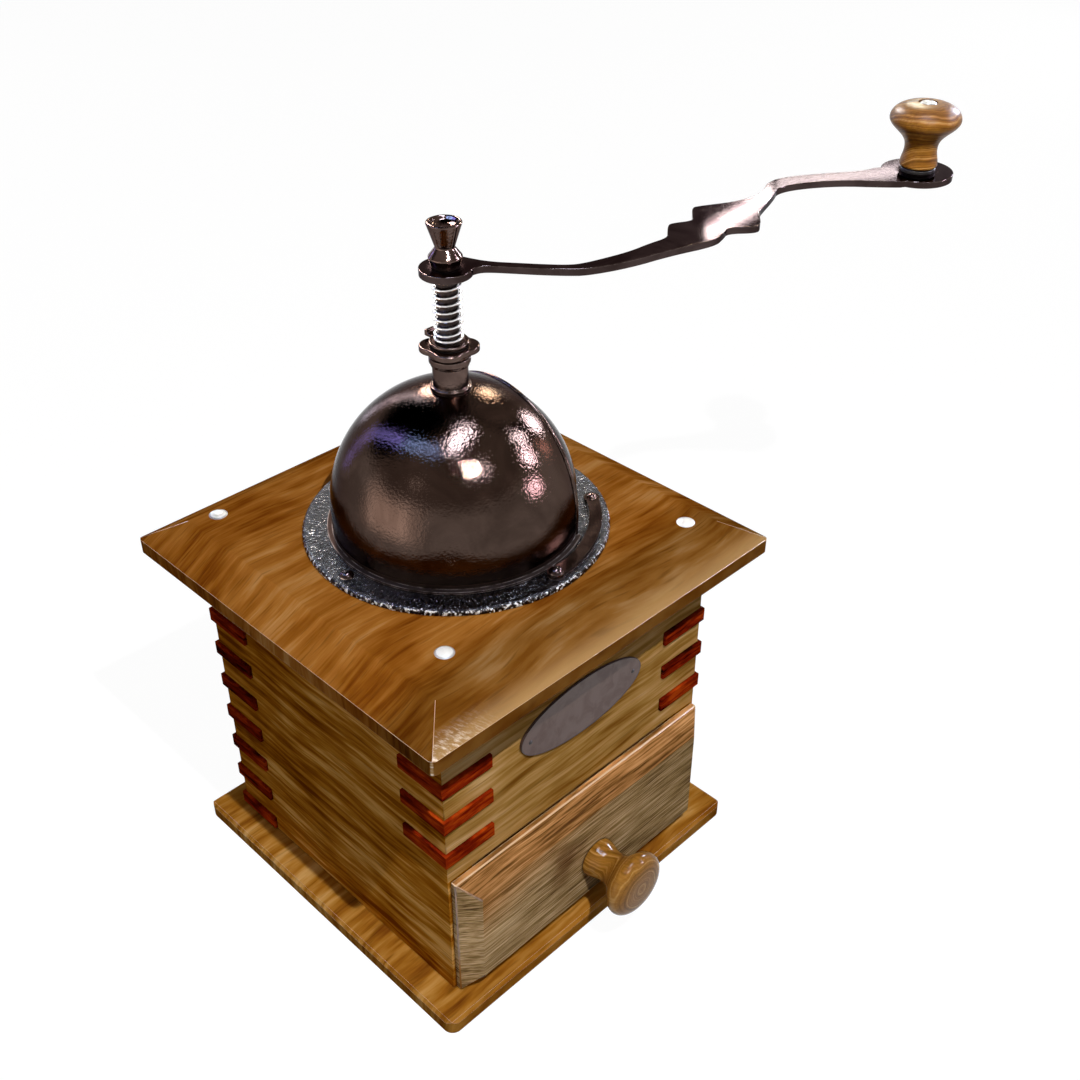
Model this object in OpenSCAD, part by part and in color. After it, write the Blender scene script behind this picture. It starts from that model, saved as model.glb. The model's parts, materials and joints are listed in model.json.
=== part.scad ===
// Wooden box mill for coffee: a jointed case with a drawer, a metal hood with a turning door,
// and a hand crank that turns a cone burr inside a ring burr.
// The frame: +Z is up, the drawer faces -Y, and the origin is in the middle of the case, on the
// underside of the base. The mill stands a little off that middle.

/* [Case] */
// Outside width and depth of the box
box_w = 128.5; // [118:0.5:145]
// Height of the box between its two boards
box_h = 129; // [122:0.5:145]
// Thickness of the box's panels
wall_t = 11; // [9:0.5:14]
// How far the base board reaches past the box
base_over = 11.5; // [6:0.5:20]
// Thickness of the base board
base_t = 6; // [4:0.5:12]
// Corner radius of the base board
base_corner_r = 4; // [1:0.5:8]
// Chamfer along the base board's top edge
base_chamfer = 1.2; // [0.4:0.1:2]
// How far the top board reaches past the box
top_over = 15.75; // [14:0.25:24]
// Height of the top board's upright edge
top_edge_h = 5.5; // [4:0.5:10]
// Height of the bevel above that edge
bevel_h = 7.5; // [4:0.5:9]
// Width of the bevel, seen from above
bevel_w = 13.5; // [8:0.5:15]
// Corner radius of the top board
top_corner_r = 2; // [0.5:0.5:4]
// Radius of the pins that hold the top board
cap_r = 3.3; // [2:0.1:4.5]
// Thickness of the board between the drawer and the mill
divider_t = 5; // [3:0.5:8]
// Radius of the hole that the ground coffee falls through
divider_hole_r = 24; // [18:0.5:30]
// How far the mill stands to the right of the case's middle
mill_x = 1.1; // [-3:0.1:3]
// How far the mill stands behind the case's middle
mill_y = -1.1; // [-3:0.1:3]

/* [Corner splines] */
// Thickness of a spline
spline_t = 5.7; // [3:0.1:7]
// Length of a spline along each face
spline_leg = 21; // [12:0.5:21]
// How far a spline stands proud of the panels
spline_proud = 1.2; // [0.4:0.1:2]
// Spacing of the splines
spline_pitch = 16.1; // [12:0.1:20]
// From the top of the box to the middle of the first spline
spline_first = 29; // [16:0.5:30]
// Splines in each corner at the back
back_splines = 7; // [2:1:7]
// Splines in each corner at the front
front_splines = 3; // [1:1:3]

/* [Drawer] */
// Height of the drawer's face
face_h = 56; // [44:0.5:60]
// How far the face stays inside the box's sides
face_inset = 1; // [0:0.1:3]
// Thickness of the face's edge
face_edge = 2.3; // [1.5:0.1:5]
// How far the middle field stands above that edge
field_rise = 5.7; // [2:0.1:7]
// Width of the bevels at the sides and the bottom of the field
field_bevel = 6.8; // [3:0.1:12]
// Width of the bevel along the top of the field
field_bevel_top = 8.3; // [3:0.1:12]
// Thickness of the drawer's sides and back
drawer_wall = 6; // [4:0.5:9]
// Thickness of the drawer's bottom
drawer_bottom_t = 3; // [2:0.5:5]
// Height of the drawer's sides
drawer_h = 48; // [30:0.5:48]
// Travel of the drawer
drawer_travel = 95; // [50:1:100]
// Length of the turned drawer knob
pull_len = 23; // [16:0.5:32]
// Radius of the drawer knob's head
pull_head_r = 13; // [8:0.1:15]
// Radius of the drawer knob's foot
pull_foot_r = 7.8; // [5:0.1:9]
// Radius of the drawer knob's waist
pull_waist_r = 6.4; // [4:0.1:7]
// How far the knob stands to the right of the drawer's middle
pull_x = 1.1; // [-4:0.1:4]

/* [Name plate] */
// Length of the oval plate
plate_len = 60; // [40:1:70]
// Height of the oval plate
plate_h = 24; // [14:0.5:28]
// Thickness of the oval plate
plate_t = 1; // [0.6:0.1:2]

/* [Bowl and flange] */
// Thickness of the flange plate
flange_t = 2; // [1.5:0.1:3]
// Wall of the bowl
bowl_wall = 3; // [2:0.5:4]
// Thickness of the rail that the door runs round
rail_t = 2.5; // [1.5:0.1:4]
// From the hood to the circle that the flange's screws lie on
screw_gap = 5.5; // [4.8:0.1:7]
// From that circle to the flange's rim
flange_margin = 5.1; // [3.5:0.1:7]
// Radius of a flange screw's head
screw_head_r = 2.6; // [1.8:0.1:3]
// Thickness of the clamp strips over the hood's ears
clamp_t = 1.6; // [1:0.1:2.5]

/* [Hood] */
// Outer radius of the hood
hood_r = 43.7; // [40:0.1:46]
// Thickness of the hood and of the door
sheet_t = 0.8; // [0.6:0.1:1]
// Height of the upright skirt under the round part
skirt_h = 8.6; // [5:0.1:14]
// Distance from the spindle to the plane that cuts the filling mouth
mouth_x = 22; // [16:0.5:26]
// How far the door reaches behind the mouth's edge
door_lap = 6; // [3:0.5:8]
// Angle that the door turns through
door_turn = 96; // [60:1:100]

/* [Burrs] */
// Height of the burrs
burr_h = 22; // [16:0.5:22]
// Radius of the cone at its wide lower end
cone_r = 16.5; // [13:0.1:16.5]
// Radius of the cone at its upper end
cone_top_r = 8.5; // [7:0.1:9]
// Gap between the burrs at the lower end
grind_gap = 0.9; // [0.7:0.05:1.5]
// Teeth on the cone
cone_teeth = 14; // [8:1:16]
// Teeth in the ring
ring_teeth = 18; // [8:1:20]
// Depth of the grooves between the teeth
tooth_depth = 1.3; // [0.6:0.1:1.6]

/* [Spindle and adjuster] */
// Radius of the spindle
spindle_r = 3.4; // [2.8:0.1:3.5]
// Radius of the bearing sleeve on the hood
sleeve_r = 6; // [5.2:0.1:6.4]
// Height of the bearing sleeve above the hood
sleeve_h = 11.5; // [9:0.1:18]
// Radius of the adjusting nut's round body
nut_r = 7.2; // [6.5:0.1:8]
// Distance from the spindle to the tips of the nut's lobes
nut_reach = 10; // [9:0.1:13]
// Height of the adjusting nut
nut_h = 3.6; // [3:0.1:6]
// Pitch of the adjusting thread
thread_pitch = 1.25; // [1:0.05:1.5]
// Thickness of the lock plate
lock_t = 1.2; // [0.8:0.1:2]
// Outer radius of the spring
spring_r = 5; // [4.7:0.1:5.4]
// Diameter of the spring's wire
wire_d = 1; // [0.7:0.05:1.1]
// Length of the spring as fitted
spring_len = 22.8; // [18:0.1:30]
// Turns of the spring
spring_turns = 9.5; // [6:0.5:12]

/* [Crank] */
// Distance from the spindle to the knob
crank_len = 189.4; // [170:0.2:200]
// Thickness of the crank
crank_t = 2.5; // [2:0.1:4]
// Radius of the crank's hub
hub_r = 8.7; // [7.5:0.1:10]
// Radius of the crank's round end
end_r = 13; // [10:0.1:15]
// Direction of the crank at rest, turned about +Z from +X
crank_angle = -17.5; // [-60:0.5:60]
// Height of the waisted top nut
top_nut_h = 14.9; // [12:0.1:20]
// Radius of the top nut's rim
top_nut_r = 5.8; // [5:0.1:7]
// Height of the crank's knob
knob_h = 22.9; // [18:0.1:30]
// Radius of the crank knob's head
knob_r = 12.7; // [10:0.1:16]
// Radius of the crank knob's foot
knob_foot_r = 6.8; // [6:0.1:9]
// Radius of the crank knob's waist
knob_waist_r = 5.9; // [4.5:0.1:7.5]

/* [Hidden] */

// Resolution of the round pieces
$fn = 96;
// Small overlap that makes cuts run past a face
past = 1;
// Clearance between pieces on different bodies that slide past each other
slip = 0.3;
// Radial clearance of a shaft in its bearing
running = 0.05;

// Levels, from the table upwards
box_z = base_t;
box_top_z = box_z + box_h;
panel_z = box_top_z + top_edge_h + bevel_h;
plate_z = panel_z + flange_t;
hood_z = plate_z + skirt_h;
half_box = box_w / 2;
half_bay = half_box - wall_t;
half_top = half_box + top_over;
top_board_t = top_edge_h + bevel_h;
face_top_z = box_z + slip + face_h;
divider_z = face_top_z + slip;

// Radii of the mill's plan, from the hood inward and outward: the door runs between the hood's
// skirt and a rail on the flange, and the bowl lies inside the rail
door_r = hood_r - sheet_t - slip;
rail_r = door_r - sheet_t - slip;
bowl_r = rail_r - rail_t;
screw_circle_r = hood_r + screw_gap;
flange_r = screw_circle_r + flange_margin;

// Top board's pins, set by hand: the corner's signs, then the insets from the board's two edges
pin_places = [[-1, -1, 30, 28], [1, -1, 22, 21], [-1, 1, 23.5, 17.5], [1, 1, 23, 20]];
pin_rise = 0.9;
pin_shank_r = 1.6;
pin_shank_len = 0.8 * top_board_t;

// Wood and metal colours
honey = "#a8712a";
olive = "#8a6d3d";
pale_oak = "#a58f63";
padauk = "#8c2410";
bronze = "#3b2d29";
black_iron = "#24201f";
nickel = "#d9dadb";
steel = "#9a9a98";
brown_plate = "#4a3733";
ivory = "#ece9e6";

// ---------- shared shapes ----------

// Points along an arc in the plane, from angle a0 to a1
function arc(centre, r, a0, a1, steps = 12) =
    [for (i = [0:steps]) let (a = a0 + (a1 - a0) * i / steps) centre + r * [cos(a), sin(a)]];

// A point on a smooth step between two radii, for turned profiles: t runs from 0 to 1
function ease(a, b, t) = a + (b - a) * (1 - cos(180 * t)) / 2;

// Points of a turned profile through stations [radius, height], eased between each pair
function turned(stations, steps = 6) =
    [for (i = [0:len(stations) - 2]) for (k = [0:steps - 1])
        let (t = k / steps, p = stations[i], q = stations[i + 1])
        [ease(p[0], q[0], t), p[1] + (q[1] - p[1]) * t]];

module rounded_square(size, r) {
    for (x = [-1, 1]) for (y = [-1, 1])
        translate([x, y] * (size / 2 - r)) circle(r, $fn = 48);
    square([size, size - 2 * r], center = true);
    square([size - 2 * r, size], center = true);
}

// A square board whose upper edges are bevelled, on the plane z = 0
module bevelled_board(size, edge_h, slope_h, slope_w, corner_r) {
    half = size / 2;
    side = [
        [-half, 0], [half, 0], [half, edge_h], [half - slope_w, edge_h + slope_h],
        [slope_w - half, edge_h + slope_h], [-half, edge_h]
    ];
    intersection() {
        linear_extrude(edge_h + slope_h) rounded_square(size, corner_r);
        along_y(size) polygon(side);
        rotate(90) along_y(size) polygon(side);
    }
}

// Extrudes a profile in x and z along y, centred
module along_y(length) {
    translate([0, length / 2, 0]) rotate([90, 0, 0]) linear_extrude(length) children();
}

// A turned solid from the points of its outside, closed to the axis
module turn(outside) {
    bottom = outside[0][1];
    top = outside[len(outside) - 1][1];
    rotate_extrude() polygon(concat([[0, bottom]], outside, [[0, top]]));
}

// Moves a shape made round the spindle to where the mill stands in the case
module at_mill() { translate([mill_x, mill_y, 0]) children(); }

module ring(outer, inner, z0, z1) {
    translate([0, 0, z0]) difference() {
        cylinder(r = outer, h = z1 - z0);
        translate([0, 0, -past]) cylinder(r = inner, h = z1 - z0 + 2 * past);
    }
}

// ---------- case ----------

module base_board() {
    size = box_w + 2 * base_over;
    color(honey) difference() {
        bevelled_board(size, base_t - base_chamfer, base_chamfer, base_chamfer, base_corner_r);
        base_screw_places() base_screw();
    }
}

// One spline, lying on z = 0, for the corner at +x and +y
module spline_shape() {
    reach = half_box + spline_proud;
    start = half_box - spline_leg;
    linear_extrude(spline_t) polygon([
        [start, half_box], [start, reach], [reach, reach], [reach, start], [half_box, start]
    ]);
}

function spline_z(i) = box_top_z - spline_first - i * spline_pitch - spline_t / 2;

// As many splines as asked for, and no more than fit above the given floor
function spline_count(asked, floor_z) =
    min(asked, floor((spline_z(0) - floor_z) / spline_pitch) + 1);

// Splines in one corner: the corner is given by the signs of x and y
module corner_splines(sx, sy) {
    count = sy > 0 ? spline_count(back_splines, box_z) : spline_count(front_splines, divider_z);
    for (i = [0:count - 1])
        translate([0, 0, spline_z(i)]) in_corner(sx, sy) spline_shape();
}

// Mirrors a shape made for the corner at +x and +y into the given corner
module in_corner(sx, sy) {
    mirror([sx < 0 ? 1 : 0, 0, 0]) mirror([0, sy < 0 ? 1 : 0, 0]) children();
}

module all_spline_slots() {
    for (sx = [-1, 1]) for (sy = [-1, 1]) corner_splines(sx, sy);
}

// Plan of one panel that is mitred where asked, on the +x side
module side_plan(front_mitre) {
    front_y = front_mitre ? -half_bay : -half_box;
    polygon([[half_box, -half_box], [half_box, half_box], [half_bay, half_bay], [half_bay, front_y]]);
}

module side_panel() {
    difference() {
        union() {
            translate([0, 0, box_z]) linear_extrude(divider_z - box_z) side_plan(false);
            translate([0, 0, divider_z]) linear_extrude(box_top_z - divider_z) side_plan(true);
        }
        all_spline_slots();
        divider_groove();
        base_screw_places() base_screw();
    }
}

module side_panel_right() { color(olive) side_panel(); }

module side_panel_left() { color(olive) mirror([1, 0, 0]) side_panel(); }

// Plan of the back panel and of the front panel, which are mitred at both ends, on the +y side
module cross_plan() {
    polygon([[-half_box, half_box], [half_box, half_box], [half_bay, half_bay], [-half_bay, half_bay]]);
}

module back_panel() {
    color(olive) difference() {
        translate([0, 0, box_z]) linear_extrude(box_h) cross_plan();
        all_spline_slots();
        divider_groove();
    }
}

module front_panel() {
    color(pale_oak) difference() {
        translate([0, 0, divider_z]) mirror([0, 1, 0])
            linear_extrude(box_top_z - divider_z) cross_plan();
        all_spline_slots();
        divider_groove();
        plate_pin_places() plate_pin();
    }
}

module splines_back_left() { color(padauk) corner_splines(-1, 1); }

module splines_back_right() { color(padauk) corner_splines(1, 1); }

module splines_front_left() { color(padauk) corner_splines(-1, -1); }

module splines_front_right() { color(padauk) corner_splines(1, -1); }

// The divider lies in a groove round the inside of the box
divider_tongue = 3;

module divider_blank() {
    reach = half_bay + divider_tongue;
    translate([-reach, -reach, divider_z]) cube([2 * reach, 2 * reach, divider_t]);
}

module divider_groove() { divider_blank(); }

module divider_board() {
    color(pale_oak) difference() {
        divider_blank();
        at_mill() translate([0, 0, divider_z - past])
            cylinder(r = divider_hole_r, h = divider_t + 2 * past);
    }
}

// Two blocks on the back panel that stop the drawer
stop_size = [12, 3, 14];
stop_x = 30;

module drawer_stops() {
    color(pale_oak) for (s = [-1, 1])
        translate([s * stop_x - stop_size[0] / 2, half_bay - stop_size[1], box_z]) cube(stop_size);
}

module top_board() {
    color(honey) difference() {
        translate([0, 0, box_top_z])
            bevelled_board(2 * half_top, top_edge_h, bevel_h, bevel_w, top_corner_r);
        top_pin_places() top_pin();
        at_mill() {
            translate([0, 0, box_top_z - past]) cylinder(r = well_r, h = top_board_t + 2 * past);
            translate([0, 0, panel_z - bowl_rim_t]) cylinder(r = bowl_rim_r, h = bowl_rim_t + past);
            flange_screw_places() flange_screw();
        }
    }
}

module top_pin_places() {
    for (p = pin_places)
        translate([p[0] * (half_top - p[2]), p[1] * (half_top - p[3]), panel_z]) children();
}

module top_pin() {
    translate([0, 0, -pin_shank_len]) cylinder(r = pin_shank_r, h = pin_shank_len);
    domed_head(cap_r, pin_rise);
}

// A low domed head on the plane z = 0
module domed_head(r, rise) {
    ball = (r * r + rise * rise) / (2 * rise);
    intersection() {
        translate([0, 0, rise - ball]) sphere(ball);
        cylinder(r = r + past, h = rise + past);
    }
}

module top_pins() { color(ivory) top_pin_places() top_pin(); }

// Countersunk screws from below, into the side panels
base_screw_head_r = 3.5;
base_screw_head_h = 2.2;
base_screw_r = 1.8;
base_screw_len = 25;
base_screw_y = 40;

module base_screw_places() {
    for (x = [-1, 1]) for (y = [-1, 1])
        translate([x * (half_box - wall_t / 2), y * base_screw_y, 0]) children();
}

module base_screw() {
    cylinder(r1 = base_screw_head_r, r2 = base_screw_r, h = base_screw_head_h);
    cylinder(r = base_screw_r, h = base_screw_len);
}

module base_screws() {
    color(steel) base_screw_places() difference() {
        base_screw();
        translate([-base_screw_head_r, -0.4, -past]) cube([2 * base_screw_head_r, 0.8, past + 0.8]);
    }
}

// ---------- name plate ----------

plate_drop = 33;
plate_centre_z = box_top_z - plate_drop;
plate_pin_r = 0.9;
plate_pin_inset = 4.3;
plate_pin_len = 8;
plate_pin_rise = 0.4;

module oval(length, height) {
    polygon([for (a = [0:5:355]) [length / 2 * cos(a), height / 2 * sin(a)]]);
}

module name_plate() {
    color(brown_plate) difference() {
        translate([0, -half_box, plate_centre_z]) rotate([90, 0, 0])
            linear_extrude(plate_t) oval(plate_len, plate_h);
        plate_pin_places() plate_pin();
    }
}

module plate_pin_places() {
    for (s = [-1, 1])
        translate([s * (plate_len / 2 - plate_pin_inset), -half_box - plate_t, plate_centre_z])
            rotate([90, 0, 0]) children();
}

module plate_pin() {
    translate([0, 0, -plate_pin_len]) cylinder(r = plate_pin_r / 2, h = plate_pin_len, $fn = 24);
    domed_head(plate_pin_r, plate_pin_rise, $fn = 24);
}

module name_plate_pins() { color(bronze) plate_pin_places() plate_pin(); }

// ---------- bowl, flange and burrs ----------

// Levels and radii of the mill
burr_lift = 14;
burr_z = divider_z + divider_t + burr_lift;
burr_top_z = burr_z + burr_h;
land_h = 8;
ring_wall = 3.1;
socket_wall = 3;
cone_slope = (cone_r - cone_top_r) / burr_h;
ring_land_r = cone_r + grind_gap - cone_slope * land_h;
throat_r = ring_land_r + 1.2;
ring_r = cone_r + grind_gap + ring_wall;
socket_r = ring_r + socket_wall;
shoulder_t = 3;
well_r = bowl_r + bowl_wall + slip;
bowl_rim_r = well_r + 3.7;
bowl_rim_t = 2;
lug_r = 5;
lug_x = socket_r + 3;
lug_h = 10;

// Points of the bowl's curve between the rim and the throat, grown outward by t
function bowl_curve(t, last_angle) = [for (i = [0:12])
    let (a = last_angle * i / 12)
    [
        throat_r + (bowl_r + t - throat_r) * cos(a),
        panel_z - (panel_z - burr_top_z - shoulder_t + t) * sin(a)
    ]];

function reversed(list) = [for (i = [len(list) - 1:-1:0]) list[i]];

module hopper_bowl() {
    last = acos((socket_r - throat_r) / (bowl_r + bowl_wall - throat_r));
    inside = concat(bowl_curve(0, 90), [[throat_r, burr_top_z], [ring_r, burr_top_z], [ring_r, burr_z]]);
    outside = concat([[bowl_r + bowl_wall, panel_z - bowl_rim_t]],
        [for (p = bowl_curve(bowl_wall, last)) if (p[1] < panel_z - bowl_rim_t) p],
        [[socket_r, burr_z]]);
    color(black_iron) difference() {
        union() {
            rotate_extrude() polygon(concat(inside, reversed(outside)));
            ring(bowl_rim_r, bowl_r, panel_z - bowl_rim_t, panel_z);
            for (s = [-1, 1]) bowl_lug(s);
        }
        bridge_screw_places() bridge_screw();
    }
}

module bowl_lug(side) {
    difference() {
        translate([side * lug_x, 0, burr_z]) {
            cylinder(r = lug_r, h = lug_h);
            translate([-side * lug_r, 0, lug_h / 2]) cube([2 * lug_r, 2 * lug_r, lug_h], center = true);
        }
        translate([0, 0, burr_z - past]) cylinder(r = ring_r + past, h = lug_h + 2 * past);
    }
}

// A V groove of the given depth that leans over by the skew, centred on a cone's side.
// dir is 1 for the outside of a cone and -1 for the inside of a ring.
module groove(r0, r1, height, depth, skew, dir) {
    tilt = atan2(r1 - r0, height);
    length = height + 4 * past;
    half_w = 0.9 * (depth + past);
    translate([(r0 + r1) / 2, 0, height / 2]) rotate([0, tilt, 0]) rotate([skew, 0, 0])
        linear_extrude(length, center = true)
            polygon([[-dir * depth, 0], [dir * past, half_w], [dir * past, -half_w]]);
}

// How far the ring's grooves lean over, at its lower end and above
land_skew = 12;
throat_skew = 20;

module burr_ring() {
    profile = [
        [ring_r, burr_z], [ring_r, burr_top_z], [throat_r, burr_top_z],
        [ring_land_r, burr_z + land_h], [cone_r + grind_gap, burr_z]
    ];
    color(steel) difference() {
        rotate_extrude() polygon(profile);
        translate([0, 0, burr_z]) for (i = [0:ring_teeth - 1]) rotate(i * 360 / ring_teeth)
            groove(cone_r + grind_gap, ring_land_r, land_h, tooth_depth / 2, land_skew, -1);
        translate([0, 0, burr_z + land_h]) for (i = [0:ring_teeth / 2 - 1]) rotate(i * 720 / ring_teeth)
            groove(ring_land_r, throat_r, burr_h - land_h, tooth_depth, throat_skew, -1);
    }
}

cone_skew = -14;
collar_r = 6.5;
collar_h = 6;
cone_pin_r = 1;

module burr_cone() {
    color(steel) difference() {
        union() {
            translate([0, 0, burr_z]) cylinder(r1 = cone_r, r2 = cone_top_r, h = burr_h);
            translate([0, 0, burr_top_z]) cylinder(r = collar_r, h = collar_h);
        }
        translate([0, 0, burr_z - past]) cylinder(r = spindle_r, h = burr_h + collar_h + 2 * past);
        translate([0, 0, burr_z]) for (i = [0:cone_teeth - 1]) rotate(i * 360 / cone_teeth)
            groove(cone_r, cone_top_r, burr_h, tooth_depth, cone_skew, 1);
        cone_pin_shape();
    }
}

module cone_pin_shape() {
    translate([-collar_r, 0, burr_top_z + collar_h / 2]) rotate([0, 90, 0])
        cylinder(r = cone_pin_r, h = 2 * collar_r, $fn = 24);
}

module cone_pin() { color(nickel) cone_pin_shape(); }

bridge_t = 4;
bridge_drop = 8;
bridge_z = burr_z - bridge_drop;
bridge_boss_r = 7;
bridge_screw_r = 1.7;
bridge_screw_head_r = 3;
bridge_screw_head_h = 1.8;

module lower_bridge() {
    color(black_iron) difference() {
        union() {
            translate([-lug_x, -lug_r, bridge_z]) cube([2 * lug_x, 2 * lug_r, bridge_t]);
            for (s = [-1, 1]) translate([s * lug_x, 0, bridge_z]) cylinder(r = lug_r, h = burr_z - bridge_z);
            translate([0, 0, bridge_z]) cylinder(r = bridge_boss_r, h = bridge_t + past);
        }
        translate([0, 0, bridge_z - past]) cylinder(r = spindle_r + running, h = bridge_t + 3 * past);
        bridge_screw_places() bridge_screw();
    }
}

module bridge_screw_places() {
    for (s = [-1, 1]) translate([s * lug_x, 0, bridge_z]) children();
}

module bridge_screw() {
    translate([0, 0, -bridge_screw_head_h]) cylinder(r = bridge_screw_head_r, h = bridge_screw_head_h);
    cylinder(r = bridge_screw_r, h = burr_z - bridge_z + 0.7 * lug_h);
}

module bridge_screws() {
    color(steel) bridge_screw_places() difference() {
        bridge_screw();
        translate([-bridge_screw_head_r, -0.4, -bridge_screw_head_h - past])
            cube([2 * bridge_screw_head_r, 0.8, past + 0.8]);
    }
}

rail_h = 2.5;
flange_round = 0.7 * flange_t;

module flange_plate() {
    edge = [for (i = [0:6]) let (a = 15 * i)
        [flange_r - flange_round * (1 - cos(a)), plate_z - flange_round * (1 - sin(a))]];
    profile = concat(
        [[bowl_r, panel_z], [flange_r, panel_z]], edge,
        [[rail_r, plate_z], [rail_r, plate_z + rail_h], [bowl_r, plate_z + rail_h]]);
    color(black_iron) difference() {
        rotate_extrude() polygon(profile);
        flange_screw_places() flange_screw();
        clamp_rivet_places() clamp_rivet();
    }
}

flange_screw_r = 1.6;
flange_screw_rise = 1.7;
flange_screw_len = flange_t + clamp_t + 0.6 * top_board_t;

// The two screws beside the mouth also hold the clamp strips
module flange_screw_places() {
    for (i = [0:3]) rotate(90 * i)
        translate([screw_circle_r, 0, plate_z + (i % 2 == 1 ? clamp_t : 0)]) children();
}

module flange_screw() {
    domed_head(screw_head_r, flange_screw_rise);
    translate([0, 0, -flange_screw_len]) cylinder(r = flange_screw_r, h = flange_screw_len);
}

module flange_screws() {
    color(bronze) flange_screw_places() difference() {
        flange_screw();
        translate([-screw_head_r, -0.3, flange_screw_rise - 0.6]) cube([2 * screw_head_r, 0.6, past]);
    }
}

clamp_w = 4.6;
clamp_eye_r = 2.9;
clamp_end = 33;

// A strip that runs round the flange from a screw to its rivet, on the +y side of the mouth
module clamp_strip() {
    reach = 2 * flange_r;
    intersection() {
        ring(screw_circle_r + clamp_w / 2, screw_circle_r - clamp_w / 2, plate_z, plate_z + clamp_t);
        translate([0, 0, plate_z - past]) linear_extrude(clamp_t + 2 * past)
            polygon([[0, 0], reach * [cos(clamp_end), sin(clamp_end)], [reach, reach], [0, reach]]);
    }
    for (a = [clamp_end, 90]) rotate(a) translate([screw_circle_r, 0, plate_z])
        cylinder(r = clamp_eye_r, h = clamp_t);
}

module hood_clamps() {
    color(bronze) difference() {
        for (s = [0, 1]) mirror([0, s, 0]) clamp_strip();
        flange_screw_places() flange_screw();
        clamp_rivet_places() clamp_rivet();
    }
}

clamp_rivet_r = 1.9;
clamp_rivet_rise = 1.3;
clamp_rivet_shank_r = 1.1;

module clamp_rivet_places() {
    for (s = [-1, 1]) rotate(s * clamp_end) translate([screw_circle_r, 0, plate_z + clamp_t]) children();
}

module clamp_rivet() {
    domed_head(clamp_rivet_r, clamp_rivet_rise, $fn = 32);
    translate([0, 0, -flange_t - clamp_t])
        cylinder(r = clamp_rivet_shank_r, h = flange_t + clamp_t, $fn = 32);
}

module clamp_rivets() { color(bronze) clamp_rivet_places() clamp_rivet(); }

// ---------- hood and door ----------

bead_r = 0.7;
lip_w = 1.8;
sleeve_shoulder_z = hood_z + sqrt(hood_r * hood_r - sleeve_r * sleeve_r);
sleeve_top_z = hood_z + hood_r + sleeve_h;
sleeve_ring_r = sleeve_r + 1;
sleeve_ring_h = 2;
sleeve_nut_h = 4;
sleeve_nut_r = sleeve_r + 3.5;
sleeve_nut_top_z = hood_z + sqrt(pow(hood_r - sheet_t, 2) - pow(sleeve_nut_r, 2));

// A round shell of sheet on an upright skirt, of the given outer radius, above the given level
module shell(r, foot_z) {
    difference() {
        dome(r, foot_z);
        dome(r - sheet_t, foot_z - past);
    }
}

module dome(r, foot_z) {
    translate([0, 0, foot_z]) cylinder(r = r, h = hood_z - foot_z);
    intersection() {
        translate([0, 0, hood_z]) sphere(r);
        translate([-r, -r, hood_z - past]) cube([2 * r, 2 * r, r + 2 * past]);
    }
}

// Everything on the mouth's side of the upright plane at x
module beyond(x) {
    reach = 2 * hood_r;
    translate([x, -reach, plate_z - past]) cube([reach, 2 * reach, 2 * reach]);
}

// The rolled edge round the mouth
module mouth_bead() {
    bead_x = mouth_x - bead_r;
    arch_r = sqrt(hood_r * hood_r - bead_x * bead_x);
    intersection() {
        translate([bead_x, 0, hood_z]) rotate([0, 90, 0]) rotate_extrude()
            translate([arch_r, 0]) circle(bead_r, $fn = 24);
        translate([0, -hood_r - past, hood_z]) cube([hood_r, 2 * (hood_r + past), hood_r + past]);
    }
    for (s = [-1, 1]) translate([bead_x, s * arch_r, plate_z])
        cylinder(r = bead_r, h = skirt_h, $fn = 24);
}

module hood() {
    color(bronze) difference() {
        union() {
            difference() {
                union() {
                    shell(hood_r, plate_z);
                    ring(hood_r + lip_w, hood_r - sheet_t, plate_z, plate_z + sheet_t);
                }
                beyond(mouth_x);
            }
            mouth_bead();
        }
        translate([0, 0, hood_z]) cylinder(r = sleeve_r, h = 2 * hood_r);
    }
}

module hood_door() {
    color(bronze) difference() {
        intersection() {
            shell(door_r, plate_z + slip);
            beyond(mouth_x - door_lap);
        }
        door_button_place() cylinder(r = button_neck_r, h = 2 * sheet_t + past, $fn = 32);
    }
}

button_neck_r = 1.5;
button_neck_len = 5;
button_head_r = 3.2;
button_head_h = 3.3;
button_angle = 48;
button_z = hood_z - 2;

// On the door's inner face, looking outward
module door_button_place() {
    rotate(button_angle) translate([door_r - sheet_t - past, 0, button_z]) rotate([0, 90, 0]) children();
}

module door_button() {
    head = [[1, 0.2], [1, 0.6], [0.85, 0.85], [0.5, 0.97], [0, 1]];
    profile = concat(
        [[0, past], [button_neck_r, past], [button_neck_r, button_neck_len]],
        [for (p = head) [p[0] * button_head_r, button_neck_len + p[1] * button_head_h]]);
    color(bronze) door_button_place() rotate_extrude($fn = 32) polygon(profile);
}

module bearing_sleeve() {
    foot_z = sleeve_nut_top_z - sleeve_nut_h - 1;
    color(bronze) difference() {
        union() {
            translate([0, 0, foot_z]) cylinder(r = sleeve_r, h = sleeve_top_z - foot_z);
            translate([0, 0, sleeve_shoulder_z]) cylinder(r = sleeve_r + 0.9, h = 1.4);
            translate([0, 0, sleeve_top_z - sleeve_ring_h - 1.2]) cylinder(r = sleeve_r + 0.5, h = 1.2);
            translate([0, 0, sleeve_top_z - sleeve_ring_h]) cylinder(r = sleeve_ring_r, h = sleeve_ring_h);
        }
        translate([0, 0, foot_z - past])
            cylinder(r = spindle_r + running, h = sleeve_top_z - foot_z + 2 * past);
    }
}

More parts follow.
